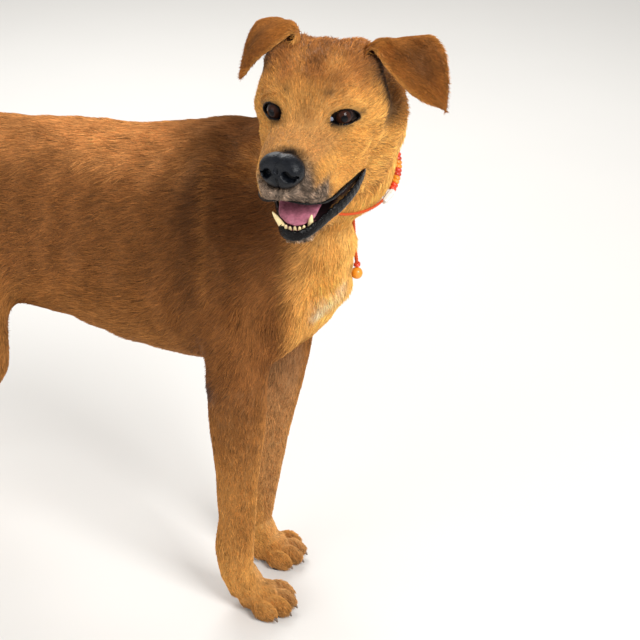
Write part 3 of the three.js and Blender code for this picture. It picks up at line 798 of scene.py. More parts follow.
def linear(colour):
    """A display colour, each part 0 to 1, as linear light."""
    c = np.asarray(colour, float)
    return np.where(c <= 0.04045, c / 12.92, ((c + 0.055) / 1.055) ** 2.4)


def spot(points, at, radii):
    """1 at a place, falling off as a Gaussian with its own reach along each axis."""
    d = (points - np.asarray(at, float)) / np.asarray(radii, float)
    return np.exp(-(d ** 2).sum(1))


def stroke(points, start, end, reach):
    """1 along a straight stroke, falling off as a Gaussian away from it."""
    start, end = np.asarray(start, float), np.asarray(end, float)
    along = end - start
    t = np.clip((points - start) @ along / (along @ along), 0, 1)
    d = points - start - t[:, None] * along
    return np.exp(-(d ** 2).sum(1) / reach ** 2)


def ripple(points, scale, seed):
    """Smooth noise about -1 to 1: a sum of sine waves in fixed random directions."""
    rng = np.random.default_rng(seed)
    total = np.zeros(len(points))
    for _ in range(6):
        wave = rng.normal(size=3) / scale
        total += np.sin(points @ wave * math.tau / 1.7 + rng.uniform(0, math.tau))
    return total / 3.2


class Layers:
    """Linear colours of many points, with named tints laid over each other by weight."""

    def __init__(self, tints, base, count):
        self.tints = tints
        self.colour = np.repeat(linear(getattr(tints, base))[None], count, 0)

    def add(self, tint, weight, darker=1.0):
        """Moves the colours towards a tint, by a weight of 0 to 1 for each point."""
        target = linear(getattr(self.tints, tint)) * darker
        self.colour = self.colour + np.clip(weight, 0, 1)[:, None] * (target - self.colour)


def body_colours(b, head, tints):
    """Colours of neck, trunk, legs and tail at places `b` in millimetres of the body's frame:
    gold brown, darker over the shoulder blades and paler along the back, both partly painted
    shade and sunlight, paler on breast and legs, with painted highlight and shade at the rear
    edges of the shoulder blades and painted shadow in the hollow of the breast."""
    x, y, z = b.T
    coat = Layers(tints, "flank", len(b))
    patchy = ripple(b, 70, 3)
    # Paler along the top of the back, partly painted sunlight.
    coat.add("back", ramp(z + 14 * patchy, 515, 592) * (1 - head))
    # Darker over the shoulder blades, partly painted shade.
    shoulder = ramp(x, -130, -20) * ramp(z, 400, 530)
    coat.add("shoulder", 0.85 * shoulder * (1 - head))
    # Painted highlight and painted shade at the rear edge of each shoulder blade: a paler stroke along
    # the edge and a darker one in the hollow behind it.
    ridge = stroke(b * (1, 0, 1), (-27, 0, 585), (-31, 0, 425), 6) * ramp(np.abs(y), 40, 60)
    valley_shade = stroke(b * (1, 0, 1), (-47, 0, 590), (-52, 0, 420), 11) * ramp(np.abs(y), 40, 60)
    coat.add("rump", 0.30 * ridge)
    coat.add("dark_and_shade", 0.22 * valley_shade)
    rump = ramp(-x, 300, 430) * ramp(z, 200, 420)
    coat.add("rump", 0.8 * rump)
    # Belly and legs.
    legs = 1 - ramp(z + 10 * patchy, 140, 330)
    low = ramp(-x, 30, 110) * (1 - ramp(z + 10 * patchy, 340, 450))
    coat.add("leg", 0.3 * low)
    coat.add("leg", legs)
    coat.add("breast", 0.35 * ramp(-z, -120, -40) * ramp(z, 14, 40))
    inner = ramp(-np.abs(np.abs(y) - 46), -22, -6) * (1 - ramp(z, 300, 370))
    coat.add("pale", 0.2 * inner)
    # Breast and throat.
    breast = ramp(x, 45, 85) * ramp(-z, -560, -430) * ramp(z, 300, 350)
    coat.add("breast", 0.95 * breast * (1 - head))
    throat = ramp(x, 70, 120) * ramp(z, 430, 500) * (1 - head)
    coat.add("breast", 0.9 * throat)
    coat.add("white", 0.9 * stroke(b, (78, -46, 416), (90, -12, 434), 9))
    # Painted shadow in the hollow at the base of the neck, above the white mark.
    coat.add("dark_and_shade", 0.5 * spot(b, (97, 10, 449), (16, 15, 11)))
    # Callus on each elbow, scar on the right foreleg, and the feet darker towards the floor.
    for side in (-1, 1):
        elbow = spot(b, (-38, side * 92, 314), (14, 15, 15))
        coat.add("callus", 1.1 * elbow * (1 + 0.4 * ripple(b, 7, 23)))
    scar = stroke(b, (8, -104, 322), (36, -98, 317), 3.0)
    coat.add("scar", 0.75 * scar)
    coat.add("dark_and_shade", 0.25 * ramp(-z, -20, -4))
    return coat.colour


def eye_marks(face, h, side):
    """Lays the marks round one eye and its cheek, and painted shade on its temple under the ear, over
    the colours of the face.
    """
    eye = np.array([2, -1.8 + side * 34.5, 0.8])
    inner, outer = eye + (7, -12.0 * side, -4), eye + (-10, 11.5 * side, 1)
    face.add("rim", 1.5 * spot(h, eye, (17, 15.5, 8.8)))
    face.add("rim", 0.85 * stroke(h, inner, inner + (8, -1.5 * side, -9), 3.0))
    face.add("rim", 0.6 * stroke(h, outer, outer + (-8, 5 * side, 2), 2.6))
    face.add("brow", 0.8 * stroke(h, eye + (2, -14 * side, 17), eye + (-12, 10 * side, 20), 5.5))
    face.add("dark_and_shade", 0.8 * spot(h, eye + (6, -13 * side, 25), (7, 5.5, 4.0)))
    # Painted shade on the temple, under the ear.
    face.add("dark_and_shade", stroke(h, (-53, side * 60, 42), (-60, side * 70, -14), 17.0))
    face.add("dark_and_shade", 0.3 * stroke(h, (-26, side * 56, -22), (-30, side * 56, -50), 4.0))
    face.add("dark_and_shade", 0.2 * spot(h, (20, side * 38, -22), (12, 8, 8)))


def face_colours(points, h, tints):
    """Colours of the head at places `h` in millimetres of its own frame: pale cheeks and brows,
    a darker crown with painted shade down its furrow, painted shade behind the cheeks, under the
    ears and beside the nose, black round the eyes, and grizzled grey round nose and lips.
    Returns also how grey each place is, 0 to 1."""
    f, l, u = h.T
    fine = ripple(h, 24, 5)
    face = Layers(tints, "face", len(h))
    crown = ramp(u + 8 * fine, -2, 50) * ramp(-f, -30, 6)
    face.add("crown", 0.95 * crown)
    face.add("bridge", 0.7 * ramp(f, 0, 40) * ramp(u, -22, -8))
    # Painted shade behind the cheeks and under the ears, in the crown's colour, kept off the lower left
    # of the neck.
    nape_shade = ramp(-f, 48, 84) * ramp(-u, -30, 0) * (1 - ramp(-u, 10, 44) * ramp(l, 0, 24))
    face.add("crown", 0.75 * nape_shade)
    # Painted shade down the furrow between the eyes and up the middle of the forehead: the crown's
    # colour at about half brightness.
    face.add("crown", 0.8 * stroke(h, (10, -1, 10), (-20, 0, 42), 6.0), 0.5)
    face.add("crown", 0.5 * stroke(h, (-20, 0, 42), (-52, 3, 60), 6.0), 0.5)
    face.add("crown", 0.5 * stroke(h, (4, 2, 44), (26, 3, 8), 8.0), 0.55)
    face.add("brow", 0.6 * spot(h, (-30, 16, 46), (18, 8, 12)))
    face.add("brow", 0.6 * spot(h, (-30, -18, 46), (18, 8, 12)))
    for side in (-1, 1):
        eye_marks(face, h, side)
    # Grizzle on the muzzle and the chin, painted shade beside the nose, and black on top of it.
    grey = ramp(f + 5 * fine, 40, 74) * ramp(-u, 26, 40)
    grey = np.maximum(grey, ramp(f + 4 * fine, 74, 92) * ramp(-u, 4, 20))
    chin = ramp(f, 20, 60) * ramp(-u, 84, 94)
    grey = np.maximum(grey, 0.55 * chin)
    face.add("grey", 0.85 * grey)
    # Painted shade at the sides of the nose, in the black of the rims.
    face.add("rim", 0.5 * spot(h, (86, 4, -24), (14, 32, 18)))
    frost = np.clip(0.5 + 0.9 * ripple(h, 3.4, 71) + 0.5 * ramp(-l, 16, 32), 0, 1.2)
    face.colour = face.colour * (1 + grey * (0.95 * frost - 0.55))[:, None]
    top_of_nose = spot(h, (83, -1, -8), (7.5, 12, 6))
    face.add("rim", 1.2 * top_of_nose)
    # Bare skin inside the lids and inside the mouth.
    for eye in EYES.values():
        ahead, out, up = eye.into(points).T
        face.add("rim", (ahead > -6) * (1 - ramp(eye.ring(out, up), 1.0, 1.2)))
    left_corner = spot(h, (2, 42, -62), (16, 8, 4))
    face.add("lining", in_mouth(points) * (1 - 0.8 * left_corner))
    return face.colour, grey


def markings(points, tints):
    """Linear colour of the coat at points of the row's frame, and how grizzled it is there."""
    b = into_body(points)
    head = head_weight(points)
    colour = body_colours(b, head, tints)
    face, grey = face_colours(points, HEAD.into(points), tints)
    colour = colour + head[:, None] * (face - colour)
    mottle = 1 + 0.09 * ripple(b, 26, 7) + 0.07 * ripple(b, 8, 19)
    return colour * mottle[:, None], grey * head


# ---- Lie of the coat ----

def coat_flow(points, normals):
    """Direction in which the hair lies: back from the nose over the head, along neck and
    back to the tail, down the legs and forward over the toes, laid flat on the skin."""
    b = into_body(points)
    h = HEAD.into(points)
    x, y, z = b.T
    f, l, u = h.T
    flow = np.tile([-1.0, 0.0, -0.34], (len(points), 1))

    def lay(direction, weight):
        nonlocal flow
        flow = flow + np.clip(weight, 0, 1)[:, None] * (np.asarray(direction, float) - flow)

    lay((-0.7, 0, -0.75), ramp(x, -130, -60) * ramp(-z, -520, -430))  # shoulder
    lay((-0.25, 0, -1), ramp(x, -40, 40) * ramp(-z, -470, -380))  # upper arm
    lay((-0.45, 0, -0.9), ramp(-x, 330, 420) * ramp(-z, -540, -440))  # thigh
    lay((0.5, 0, -0.75), stroke(b, (-330, 0, 360), (-345, 0, 330), 60) * 0.6)  # fold of the flank
    lay((0.05, 0, -1), ramp(x, 55, 100))  # breast
    lay((-0.55, 0.45, -0.7), ramp(z, 520, 590) * ramp(x, 0, 60))  # neck
    legs = 1 - ramp(z, 250, 350)
    lay((-0.12, 0, -1), legs)
    lay((-0.75, 0, -0.75), ramp(-x, 300, 360) * legs * ramp(z, 150, 200))  # shank
    lay((-0.45, 0, -1), ramp(-x, 505, 540) * (1 - ramp(np.abs(y - 8), 40, 60)))  # tail
    lay((0.75, 0, -0.65), 1 - ramp(z, 22, 60))  # toes
    back_of_head = np.stack([-np.ones_like(f), 0.35 * np.sign(l) * ramp(np.abs(l), 6, 40),
                             np.where(u < -10, -0.35, 0.1)], 1)
    down_muzzle = np.stack([-np.ones_like(f) * 0.55, 0.5 * np.sign(l), -0.9 * np.ones_like(f)], 1)
    muzzle = (ramp(f, 20, 55) * ramp(np.abs(l), 10, 24) * (u < -14))[:, None]
    local = back_of_head + muzzle * (down_muzzle - back_of_head)
    weight = head_weight(points)[:, None]
    flow = flow + weight * (HEAD.turn(local) - flow)
    swirl = np.stack([ripple(b, 55, 11), ripple(b, 55, 12), ripple(b, 55, 13)], 1)
    flow = unit(flow) + 0.22 * swirl
    flow -= (flow * normals).sum(1, keepdims=True) * normals
    return unit(flow)


def unwrap(points):
    """Where each point lies on an unwrap of the body: how far along its own part and which
    way round it, with an island each for head, trunk, tail and the four legs."""
    b = into_body(points)
    h = HEAD.into(points)
    x, y, z = b.T
    f, l, u = h.T

    def wound(along, low, high, a, c, island):
        left, bottom, wide, tall = island
        t = np.clip((along - low) / (high - low), 0, 1)
        angle = np.arctan2(c, a) / math.tau + 0.5
        return np.stack([left + wide * t, bottom + tall * angle], 1)

    uv = wound(x, -560, 170, y, z - 460, (0.01, 0.36, 0.56, 0.62))
    on_head = head_weight(points) > 0.5
    uv[on_head] = wound(f, -135, 115, l, u + 20, (0.60, 0.36, 0.38, 0.44))[on_head]
    islands = {(-1, 1): 0.01, (1, 1): 0.20, (-1, -1): 0.39, (1, -1): 0.58}
    for (side, end), left in islands.items():
        rows = (z < 320) & (np.sign(y) == side) & (np.sign(x + 200) == end) & ~on_head
        middle = -20 if end > 0 else -440
        uv[rows] = wound(z, 0, 320, x - middle, y - side * 68, (left, 0.01, 0.17, 0.33))[rows]
    tail = (x < -520) & (np.abs(y - 8) < 45)
    uv[tail] = wound(z, 170, 520, x + 572, y - 8, (0.78, 0.01, 0.20, 0.33))[tail]
    return uv


# ---- Coat ----

ROOT_SUNK = 0.35 * MM  # depth of a tuft's root in the skin
OVER_FLOOR = 0.1 * MM  # least height of any corner of a tuft


def hair_size(points, sizes):
    """Length and width of the tufts at each place, in metres: long on neck, breast and
    the backs of the thighs, short on the legs, shortest on the face and feet."""
    b = into_body(points)
    x, _, z = b.T
    f = HEAD.into(points)[:, 0]
    length = np.full(len(points), sizes.trunk_hair)
    length += 0.15 * sizes.trunk_hair * ramp(z, 480, 560)
    length += 0.25 * sizes.trunk_hair * ramp(-x, 440, 480) * ramp(z, 330, 380)
    legs = leg_weight(points)
    length += legs * (sizes.leg_hair - length)
    length += paw_weight(points) * (sizes.paw_hair - length)
    head = head_weight(points)
    on_face = sizes.face_hair * (1 + 0.9 * ramp(-f, 0, 70) - 0.25 * ramp(f, 30, 70))
    length += head * (on_face - length)
    width = np.interp(length, [0.004, 0.008, 0.015], [0.00062, 0.00088, sizes.hair_width])
    return length, width


def scattered(points, faces, normals, count, density, rng):
    """Random places on the surface: face by face area times density, even within a face."""
    area = np.linalg.norm(face_normals(points, faces), axis=1) / 2
    chance = np.cumsum(area * density)
    row = np.searchsorted(chance, rng.uniform(0, chance[-1], count))
    row = np.minimum(row, len(faces) - 1)
    r, s = rng.uniform(size=(2, count))
    flip = r + s > 1
    r, s = np.where(flip, 1 - r, r), np.where(flip, 1 - s, s)
    weights = np.stack([1 - r - s, r, s], 1)[:, :, None]
    return ((points[faces[row]] * weights).sum(1), unit((normals[faces[row]] * weights).sum(1)), row)


def spears(roots, normals, flow, length, width, lift, rng):
    """Closed four-sided tufts: a small triangle sunk in the skin at the root and one long
    point that follows the lie of the coat, raised by `lift` of its length. No corner is
    under the floor. Returns vertices (4 for each tuft) and triangles."""
    count = len(roots)
    turn = rng.normal(0, 0.16, count)[:, None]
    across = np.cross(normals, flow)
    along = unit(flow + turn * across)
    across = np.cross(normals, along)
    length = (length * rng.uniform(0.75, 1.25, count))[:, None]
    half = (width * rng.uniform(0.8, 1.2, count))[:, None] / 2
    rise = (lift * rng.uniform(0.6, 1.35, count))[:, None] * length
    sunk = roots - ROOT_SUNK * normals
    corners = np.stack([
        sunk - half * across, sunk + half * across,
        roots + 0.12 * length * along + (0.45 * half + 0.35 * rise) * normals,
        roots + length * along + rise * normals
        + 0.10 * length * across * rng.normal(0, 1, (count, 1)),
    ], 1)
    start = 4 * np.arange(count)[:, None, None]
    pattern = np.array([[0, 2, 1], [0, 3, 2], [1, 2, 3], [0, 1, 3]])
    corners = corners.reshape(-1, 3)
    corners[:, 2] = np.maximum(corners[:, 2], OVER_FLOOR)
    return corners, (start + pattern).reshape(-1, 3)


# ---- Eyes and eyelids ----

class Eye:
    """One eye's own frame: its middle, the way it looks, out to the temple and up."""

    TURN = math.radians(24)  # how far it looks out to the side
    HALF, ASIDE = 15.3, 1.2  # half width of the lid opening, and its middle out from the eye's
    TOP, BOTTOM, LEAN = 8.6, 5.6, 0.16  # heights over and under its line, highest at the inner side
    TILT, DROOP = 0.08, 3.4  # slope of its line, and its fall to the outer corner
    LID, SINK = 2.0, 3.6  # height of the lids over the eyeball, depth of the skin behind it
    REACH = 24  # how far from the eye's middle the skin is changed

    def __init__(self, name, side):
        self.middle = centre("eye_" + name)
        c, s = math.cos(self.TURN), math.sin(self.TURN)
        self.axes = HEAD.turn([[c, side * s, 0.0], [-s, side * c, 0.0], [0.0, 0.0, 1.0]])

    def into(self, points):
        """Metres to millimetres (ahead, out, up) about the eye's middle."""
        return (points - self.middle) @ self.axes.T / MM

    def out(self, points_mm):
        """Millimetres (ahead, out, up) about the eye's middle to metres."""
        return self.middle + np.asarray(points_mm, float) * MM @ self.axes

    def line(self, out):
        """Height of the line through both corners, which droops towards the outer one."""
        return self.TILT * out - self.DROOP * (np.maximum(out + 2, 0) / 18) ** 2

    def ring(self, out, up):
        """How far a place is from the middle of the lid opening: 1 on its edge."""
        level = up - self.line(out)
        across = (out - self.ASIDE) / self.HALF
        top = self.TOP * (1 - self.LEAN * np.clip(across, -1, 1))
        height = np.where(level > 0, top, self.BOTTOM)
        return np.sqrt(across ** 2 + (level / height) ** 2)

    def opening(self, angle, grow=1.0):
        """Places (out, up) on the edge of the opening, an almond with drawn-out corners."""
        out = self.ASIDE + self.HALF * grow * np.cos(angle)
        top = self.TOP * (1 - self.LEAN * np.cos(angle))
        height = np.where(np.sin(angle) > 0, top, self.BOTTOM) * grow
        return out, self.line(out) + height * np.sin(angle)

    @staticmethod
    def dome(radius, out, up):
        """Height of a ball of the given radius, run on outside it at an easy slope."""
        reach = np.hypot(out, up)
        edge = 0.8 * radius
        inside = np.sqrt(radius ** 2 - np.minimum(reach, edge) ** 2)
        return inside - 0.9 * np.maximum(reach - edge, 0)


EYES = {name: Eye(name, side) for name, side in SIDES}


def open_lids(points, radius_mm):
    """The skin laid back round each eye: inside the opening it drops behind the front of the
    eyeball, at the edge it stands proud as a lid, and above it a fold is drawn in."""
    points = points.copy()
    for eye in EYES.values():
        ahead, out, up = eye.into(points).T
        rows = np.nonzero((ahead > -2) & (np.hypot(out, up) < eye.REACH))[0]
        a, o, v = ahead[rows], out[rows], up[rows]
        e = eye.ring(o, v)
        dome = eye.dome(radius_mm, o, v)
        near = 1 - ramp(e, 1.5, 2.6)
        a = a + near * (np.maximum(a, dome + eye.LID) - a)
        level = v - eye.line(o)
        brow = np.exp(-((e - 1.45) / 0.25) ** 2) * ramp(level, 1, 5)
        fold = np.exp(-((e - 1.95) / 0.16) ** 2) * ramp(level, 1, 6)
        pouch = np.exp(-((e - 2.0) / 0.2) ** 2) * ramp(-level, 1, 6)
        a = a + 0.8 * brow - 0.9 * fold - 0.6 * pouch
        a = np.where(e < 1.6, a + (1 - ramp(e, 1.0, 1.1)) * (dome - eye.SINK - a), a)
        points[rows] = eye.out(np.stack([a, o, v], 1))
    return points


def lid_rims(eye, radius_mm):
    """The bare black edge of the lids: an oval tube round the opening, thicker at both
    corners."""
    count = 72
    angle = np.arange(count) / count * math.tau
    out, up = eye.opening(angle, 1.06)
    ahead = eye.dome(radius_mm, out, up) + 1.0
    path = np.stack([ahead, out, up], 1)
    thick = 1.05 + 0.6 * np.cos(angle) ** 8
    rings = sections(path, thick, thick * 1.2, (1.0, 0.0, 0.0), 12, closed=True)
    points, faces = hoop(rings)
    return eye.out(points), faces


def haw_and_reflection(eye, radius_mm):
    """The small fold of skin in the inner corner of the lids, whose pale blue-grey is partly painted
    reflection: a squashed ball.
    """
    out = eye.ASIDE - 0.84 * eye.HALF
    up = eye.line(out) - 1.0
    middle = (eye.dome(radius_mm, out, up) + 0.2, out, up)
    points, faces = shell(ball(14, 18) * (1.6, 3.0, 2.2) + middle)
    return eye.out(points), faces


def eyeball(eye, radius):
    """A ball with the cornea standing out a little round the way it looks. Returns also
    the angle of each vertex from that way, in degrees."""
    ways = ball(56, 48)
    polar = np.degrees(np.arccos(np.clip(ways[..., 0], -1, 1)))
    bulge = 1 + 0.045 * (1 - ramp(polar, 8, 46))
    points, faces = shell(ways * bulge[..., None] * radius / MM)
    return eye.out(points), faces, np.degrees(np.arccos(np.clip(unit(points)[:, 0], -1, 1)))


def eye_finish(tints):
    """Dark pupil, red-brown iris with fine spokes, black ring, brown white of the eye."""
    f = Finish("eye", Roughness=0.04, Specular_IOR_Level=0.14)
    angle = f.node("Attribute", attribute_name="polar").outputs["Fac"]
    base = f.flecked(tuple(linear(tints.iris)), 1500, 3.0, 0.6, 1.3)
    past_pupil = f.spread(angle, 17, 20)
    at_ring = f.spread(angle, 38, 47)
    at_white = f.spread(angle, 50, 60)
    base = f.mix(past_pupil, (0.003, 0.003, 0.004), base)
    base = f.mix(at_ring, base, (0.006, 0.005, 0.005))
    f.colour(f.mix(at_white, base, tuple(linear(shade(56, 42, 40)))))
    return f.material


# ---- Nose ----

# Sections of the nose: ahead, middle height, half width, half height above and below it.
NOSE = ((82, -13, 16, 12.5, 14), (88, -13, 20.5, 16, 18), (94, -13, 22.6, 17.6, 19.4),
        (100, -13.2, 21.8, 16.2, 18), (104.6, -13.6, 18.4, 12.4, 14.6), (107.4, -14, 12.0, 7.4, 9),
        (108.6, -14.2, 5.0, 3.0, 3.6))
NOSTRIL = ((9.2, -13.0), (11.8, -16.0), (15.2, -16.8), (19.2, -15.2))  # its curl: aside, up
NOSE_ROOT = 84  # how far ahead the nose turns from
NOSE_TURN = math.radians(-13)
NOSE_NARROWED, NOSE_LEVEL = (0.965, 0.91), 14  # across and up, about a line that far down
NOSE_SHIFT = (-2.0, -1.9, -4.9)


def nose_leather():
    """The nose as rings from its root to its front: widths and heights along it, rounded at
    the front. A groove runs down the middle, and each nostril is a comma-shaped pit whose
    tail turns out to the side."""
    stations = through(NOSE, 64)
    around = 132
    angle = np.arange(around) / around * math.tau
    c, s = np.cos(angle), np.sin(angle)
    wide, up, down = (stations[:, k][:, None] for k in (2, 3, 4))
    side = wide * np.sign(c) * np.abs(c) ** 0.86
    rise = np.where(s > 0, up, down) * np.sign(s) * np.abs(s) ** 0.86
    taper = 1 - 0.16 * ramp(-rise, 2, 18)
    l = side * taper
    u = stations[:, 1][:, None] + rise
    f = np.broadcast_to(stations[:, 0][:, None], l.shape)
    p = np.stack([f, l, u], -1).reshape(-1, 3)
    start = p.copy()
    front = ramp(start[:, 0], 92, 103)
    p[:, 0] -= 2.6 * np.exp(-(start[:, 1] / 1.7) ** 2) * ramp(-start[:, 2], 4, 12) * front
    top = ramp(start[:, 2], -8, 2)
    p[:, 2] -= 1.1 * np.exp(-(start[:, 1] / 3.2) ** 2) * top
    for hand in (-1, 1):
        pit = np.zeros(len(p))
        curl = np.array(NOSTRIL) * (hand, 1)
        for one, other, reach in zip(curl, curl[1:], (4.6, 3.9, 1.9)):
            pit = np.maximum(pit, stroke(start[:, 1:], one, other, reach))
        deep = ramp(pit, 0.30, 0.85)
        p[:, 0] -= 8.0 * deep * ramp(start[:, 0], 88, 100)
        p[:, 1] -= hand * 3.2 * deep * ramp(np.abs(start[:, 1]), 14, 21)
        wing = spot(start, (100, hand * 15.5, -9.5), (9, 5.5, 4.5))
        p += wing[:, None] * np.array([0.8, hand * 1.2, 0.9])
    p[:, 1:] = (p[:, 1:] + (0, NOSE_LEVEL)) * NOSE_NARROWED - (0, NOSE_LEVEL)
    away, c, s = p[:, 0] - NOSE_ROOT, math.cos(NOSE_TURN), math.sin(NOSE_TURN)
    p = np.stack([NOSE_ROOT + away * c - p[:, 1] * s, p[:, 1] * c + away * s, p[:, 2]], 1)
    return shell(p.reshape(len(stations), around, 3) + NOSE_SHIFT)


# ---- Mouth ----

JAW_ASIDE = 1.5  # the lower teeth stand a little to the left of the middle

# Edges of the lips in the head's frame, from the left corner of the mouth round the front
# to the right corner. The open jaw hangs a little to the left, the muzzle to the right.
LOWER_LIP = ((-26, 50, -61), (-8, 48.8, -65), (10, 46.5, -69.5), (34, 40, -74), (53, 30, -78.5),
             (68, 20, -83.5), (76, 11, -87.5), (78.5, 3, -89), (76.5, -5, -89), (69, -12, -88),
             (55, -17.5, -82.5), (34, -26, -75.5), (10, -34, -70), (-8, -41, -65), (-26, -48, -61))
UPPER_LIP = ((-26, 50, -60), (5, 43.5, -60.5), (32, 37.5, -61), (45, 34, -61.5), (65, 27.5, -61),
             (80, 14, -57.5), (87, 2, -53), (89, -5.5, -51), (87, -13, -53), (80, -23.5, -58),
             (65, -33, -62), (45, -39, -62.5), (32, -40.5, -61.5), (5, -45, -60.5), (-26, -50, -60))


def flews():
    """Balls along the lips that fill the hanging edge of the upper lip and the rim of the
    jaw, which the solids leave sharp, and two rows that fill the chin under the tongue:
    (middle, radius) in metres."""
    balls = []
    rows = ((UPPER_LIP, 3.4, 5.2, 6.4), (UPPER_LIP, 5, 12, 7.4),
            (LOWER_LIP, 2.6, -5.6, 5.6), (LOWER_LIP, 5, -12, 7.0))
    for path, sink, rise, radius in rows:
        line = through(path, 110)
        line[:, 1] -= sink * np.sign(line[:, 1]) * ramp(np.abs(line[:, 1]), 0, 12)
        line[:, 0] -= sink * (1 - ramp(np.abs(line[:, 1]), 6, 22))
        line[:, 2] += rise
        balls += [(middle, radius * MM) for middle in HEAD.out(line)]
    for side in (-1, 1):
        t = np.linspace(0, 1, 40)
        level = np.full(len(t), -88.5)
        chin = np.stack([16 + 44 * t, 3 + side * (19 - 12 * t ** 1.6), level], 1)
        balls += [(middle, (8.5 - 1.5 * k) * MM) for middle, k in zip(HEAD.out(chin), t)]
    return balls


# The hollow of the mouth: ahead, middle aside, half width, middle height, half height.
HOLLOW = np.array([(-46, 0, 20, -60, 8), (-16, 0, 32, -64, 14), (20, 4.5, 27, -70, 20),
                   (50, 5, 14, -75, 17), (70, 4.5, 8, -78, 15), (75, 4, 4, -79, 10)])


def in_mouth(points):
    """1 inside the mouth, between the lips, 0 on the outside of the face."""
    f, l, u = HEAD.into(points).T
    low, high = through(LOWER_LIP, 300), through(UPPER_LIP, 300)

    def at(path, column, side):
        rows = path[side * path[:, 1] >= (4 * side if side > 0 else -4)]
        order = np.argsort(rows[:, 0])
        return np.interp(f, rows[order, 0], rows[order, column])

    upper = ramp(u, -63, -58)
    left = at(low, 1, 1) + upper * (at(high, 1, 1) - at(low, 1, 1))
    right = at(low, 1, -1) + upper * (at(high, 1, -1) - at(low, 1, -1))
    inset = np.minimum(left - l, l - right) - 0.5 * np.maximum(u - at(high, 2, 1), 0)
    rim = ramp(inset, -0.6, 1.0) * ramp(u - at(low, 2, 1), -5, -2) * ramp(-u, 44, 49)
    rim *= ramp(-f, -88, -84) * ramp(f, -32, -27)
    side, wide, level, tall = (np.interp(f, HOLLOW[:, 0], HOLLOW[:, k]) for k in (1, 2, 3, 4))
    oval = (np.abs(l - side) / (wide + 3)) ** 2.4 + (np.abs(u - level) / (tall + 3)) ** 2.4
    return np.maximum(rim, (1 - ramp(oval, 0.85, 1.15)) * (np.abs(f - 15) < 63))


def lower_lip():
    """Black lower lip: a bumpy band along the edge of the jaw, tallest at the front."""
    count = 260
    path = through(LOWER_LIP, count)
    front = ramp(path[:, 0], 40, 76)
    bumps = np.maximum(0, np.sin(path[:, 0] * math.tau / 7.0)) * (1 - ramp(path[:, 0], 50, 64))
    path[:, 2] += 0.8 * bumps + 0.6 * (1 - front) - 1.4 * front
    half_tall = (5.4 - 0.1 * front + 0.6 * bumps) * rounded(count)
    half_wide = (1.6 + 0.9 * front + 0.5 * bumps) * rounded(count)
    points, faces = shell(sections(path, half_wide, half_tall, (0, 0, 1), 24, 0.85))
    points[:, 2] += 0.35 * ripple(points, 5, 51)
    return points, faces


def upper_lip():
    """Black edge of the upper lip, a thin roll along the bottom of the flews."""
    count = 220
    path = through(UPPER_LIP, count)
    front = ramp(path[:, 0], 44, 74)
    path[:, 2] += 1.8 * front
    thick = (1.6 - 0.6 * front) * rounded(count)
    return shell(sections(path, thick, thick * 1.2, (0, 0, 1), 14))


def tongue_leaf():
    """The tongue: a flat loft with round edges and a shallow groove along its middle."""
    path = through([(-42, 0, -65), (-20, 0, -63), (6, 0.5, -63), (30, 1, -67.5), (52, 1, -75),
                    (62, 1, -80), (67.5, 1, -84)], 60)
    half = through([[12], [23], [24.5], [22.5], [19.5], [16.5], [8]], 60)[:, 0]
    thick = through([[3], [4.5], [4.6], [4.0], [3.2], [2.4], [1.0]], 60)[:, 0]
    rings = sections(path, half, thick, (0, 0, 1), 44, 0.8)
    points, faces = shell(rings)
    width = np.abs(points[:, 1] - 1.0 * ramp(points[:, 0], -30, 30))
    points[:, 2] -= 1.5 * np.exp(-(width / 2.6) ** 2)
    points[:, 2] += 0.10 * width * ramp(points[:, 0], -30, 20)
    return points, faces


def gum_roll():
    """The gum that the lower front teeth stand in."""
    path = through([(36, -12.5, -88), (48, -13, -88), (62, -12.5, -89), (71, -7, -90), (74, 0, -90),
                    (71, 7, -90), (62, 13.5, -89), (48, 14, -88), (36, 13, -88)], 70)
    path += (0, JAW_ASIDE, 0)
    thick = 4.0 * rounded(70)
    return shell(sections(path, thick, thick, (0, 0, 1), 16))


def tooth(path, base, tip, flat=1.0):
    """One tooth: an oval cone along a curved path, drawn in to a rounded point."""
    count = 22
    line = through(path, count)
    t = np.linspace(0, 1, count)
    radius = (base + (tip - base) * t ** 1.4) * np.sqrt(np.clip(1 - t ** 7, 0.02, 1))
    return shell(sections(line, radius, radius * flat, (1, 0, 0), 14))


def lower_teeth():
    """Two canines that curve outwards, and six small teeth between them."""
    right = [(64, -11.5, -93), (67, -14.4, -85), (69.5, -18.2, -77.5), (70, -22.0, -71.5)]
    left = [(62, 13.5, -93), (65, 14.0, -85), (67.5, 14.8, -77.5), (68.5, 15.8, -71.5)]
    parts = [tooth(np.array(path) + (0, JAW_ASIDE, 0), 3.5, 1.3) for path in (right, left)]
    for k in range(6):
        a = math.radians((k - 2.5) * 20)
        at = np.array([63 + 11.5 * math.cos(a), JAW_ASIDE - 1.4 + 12.6 * math.sin(a), 0])
        lean = np.array([math.cos(a), math.sin(a), 0])
        parts.append(tooth([at + (0, 0, -91), at + 0.4 * lean + (0, 0, -87),
                            at + 0.9 * lean + (0, 0, -82.4 + 0.5 * (k % 2))], 1.9, 1.6))
    return joined(parts)[:2]


# ---- Ears ----

EARS = {
    # Front edge, rear edge and how far the leaf bows, in millimetres of the head's frame.
    "left": (((-46, 38, 42), (-48, 50, 54), (-46, 64, 37), (-44, 87, 15), (-44, 105, 5),
              (-45, 120, -1)),
             ((-96, 44, 22), (-94, 72, 46), (-82, 99, 61), (-66, 116, 54), (-55, 123, 31),
              (-46, 126, -1)), 7),
    "right": (((-44, -32, 44), (-54, -28, 62), (-50, -46, 50), (-52, -63, 35), (-60, -74, 22),
               (-67, -82, 9)),
              ((-92, -42, 26), (-97, -54, 57), (-86, -70, 63), (-77, -79, 51), (-73, -84, 30),
               (-69, -87, 9)), -7),
}


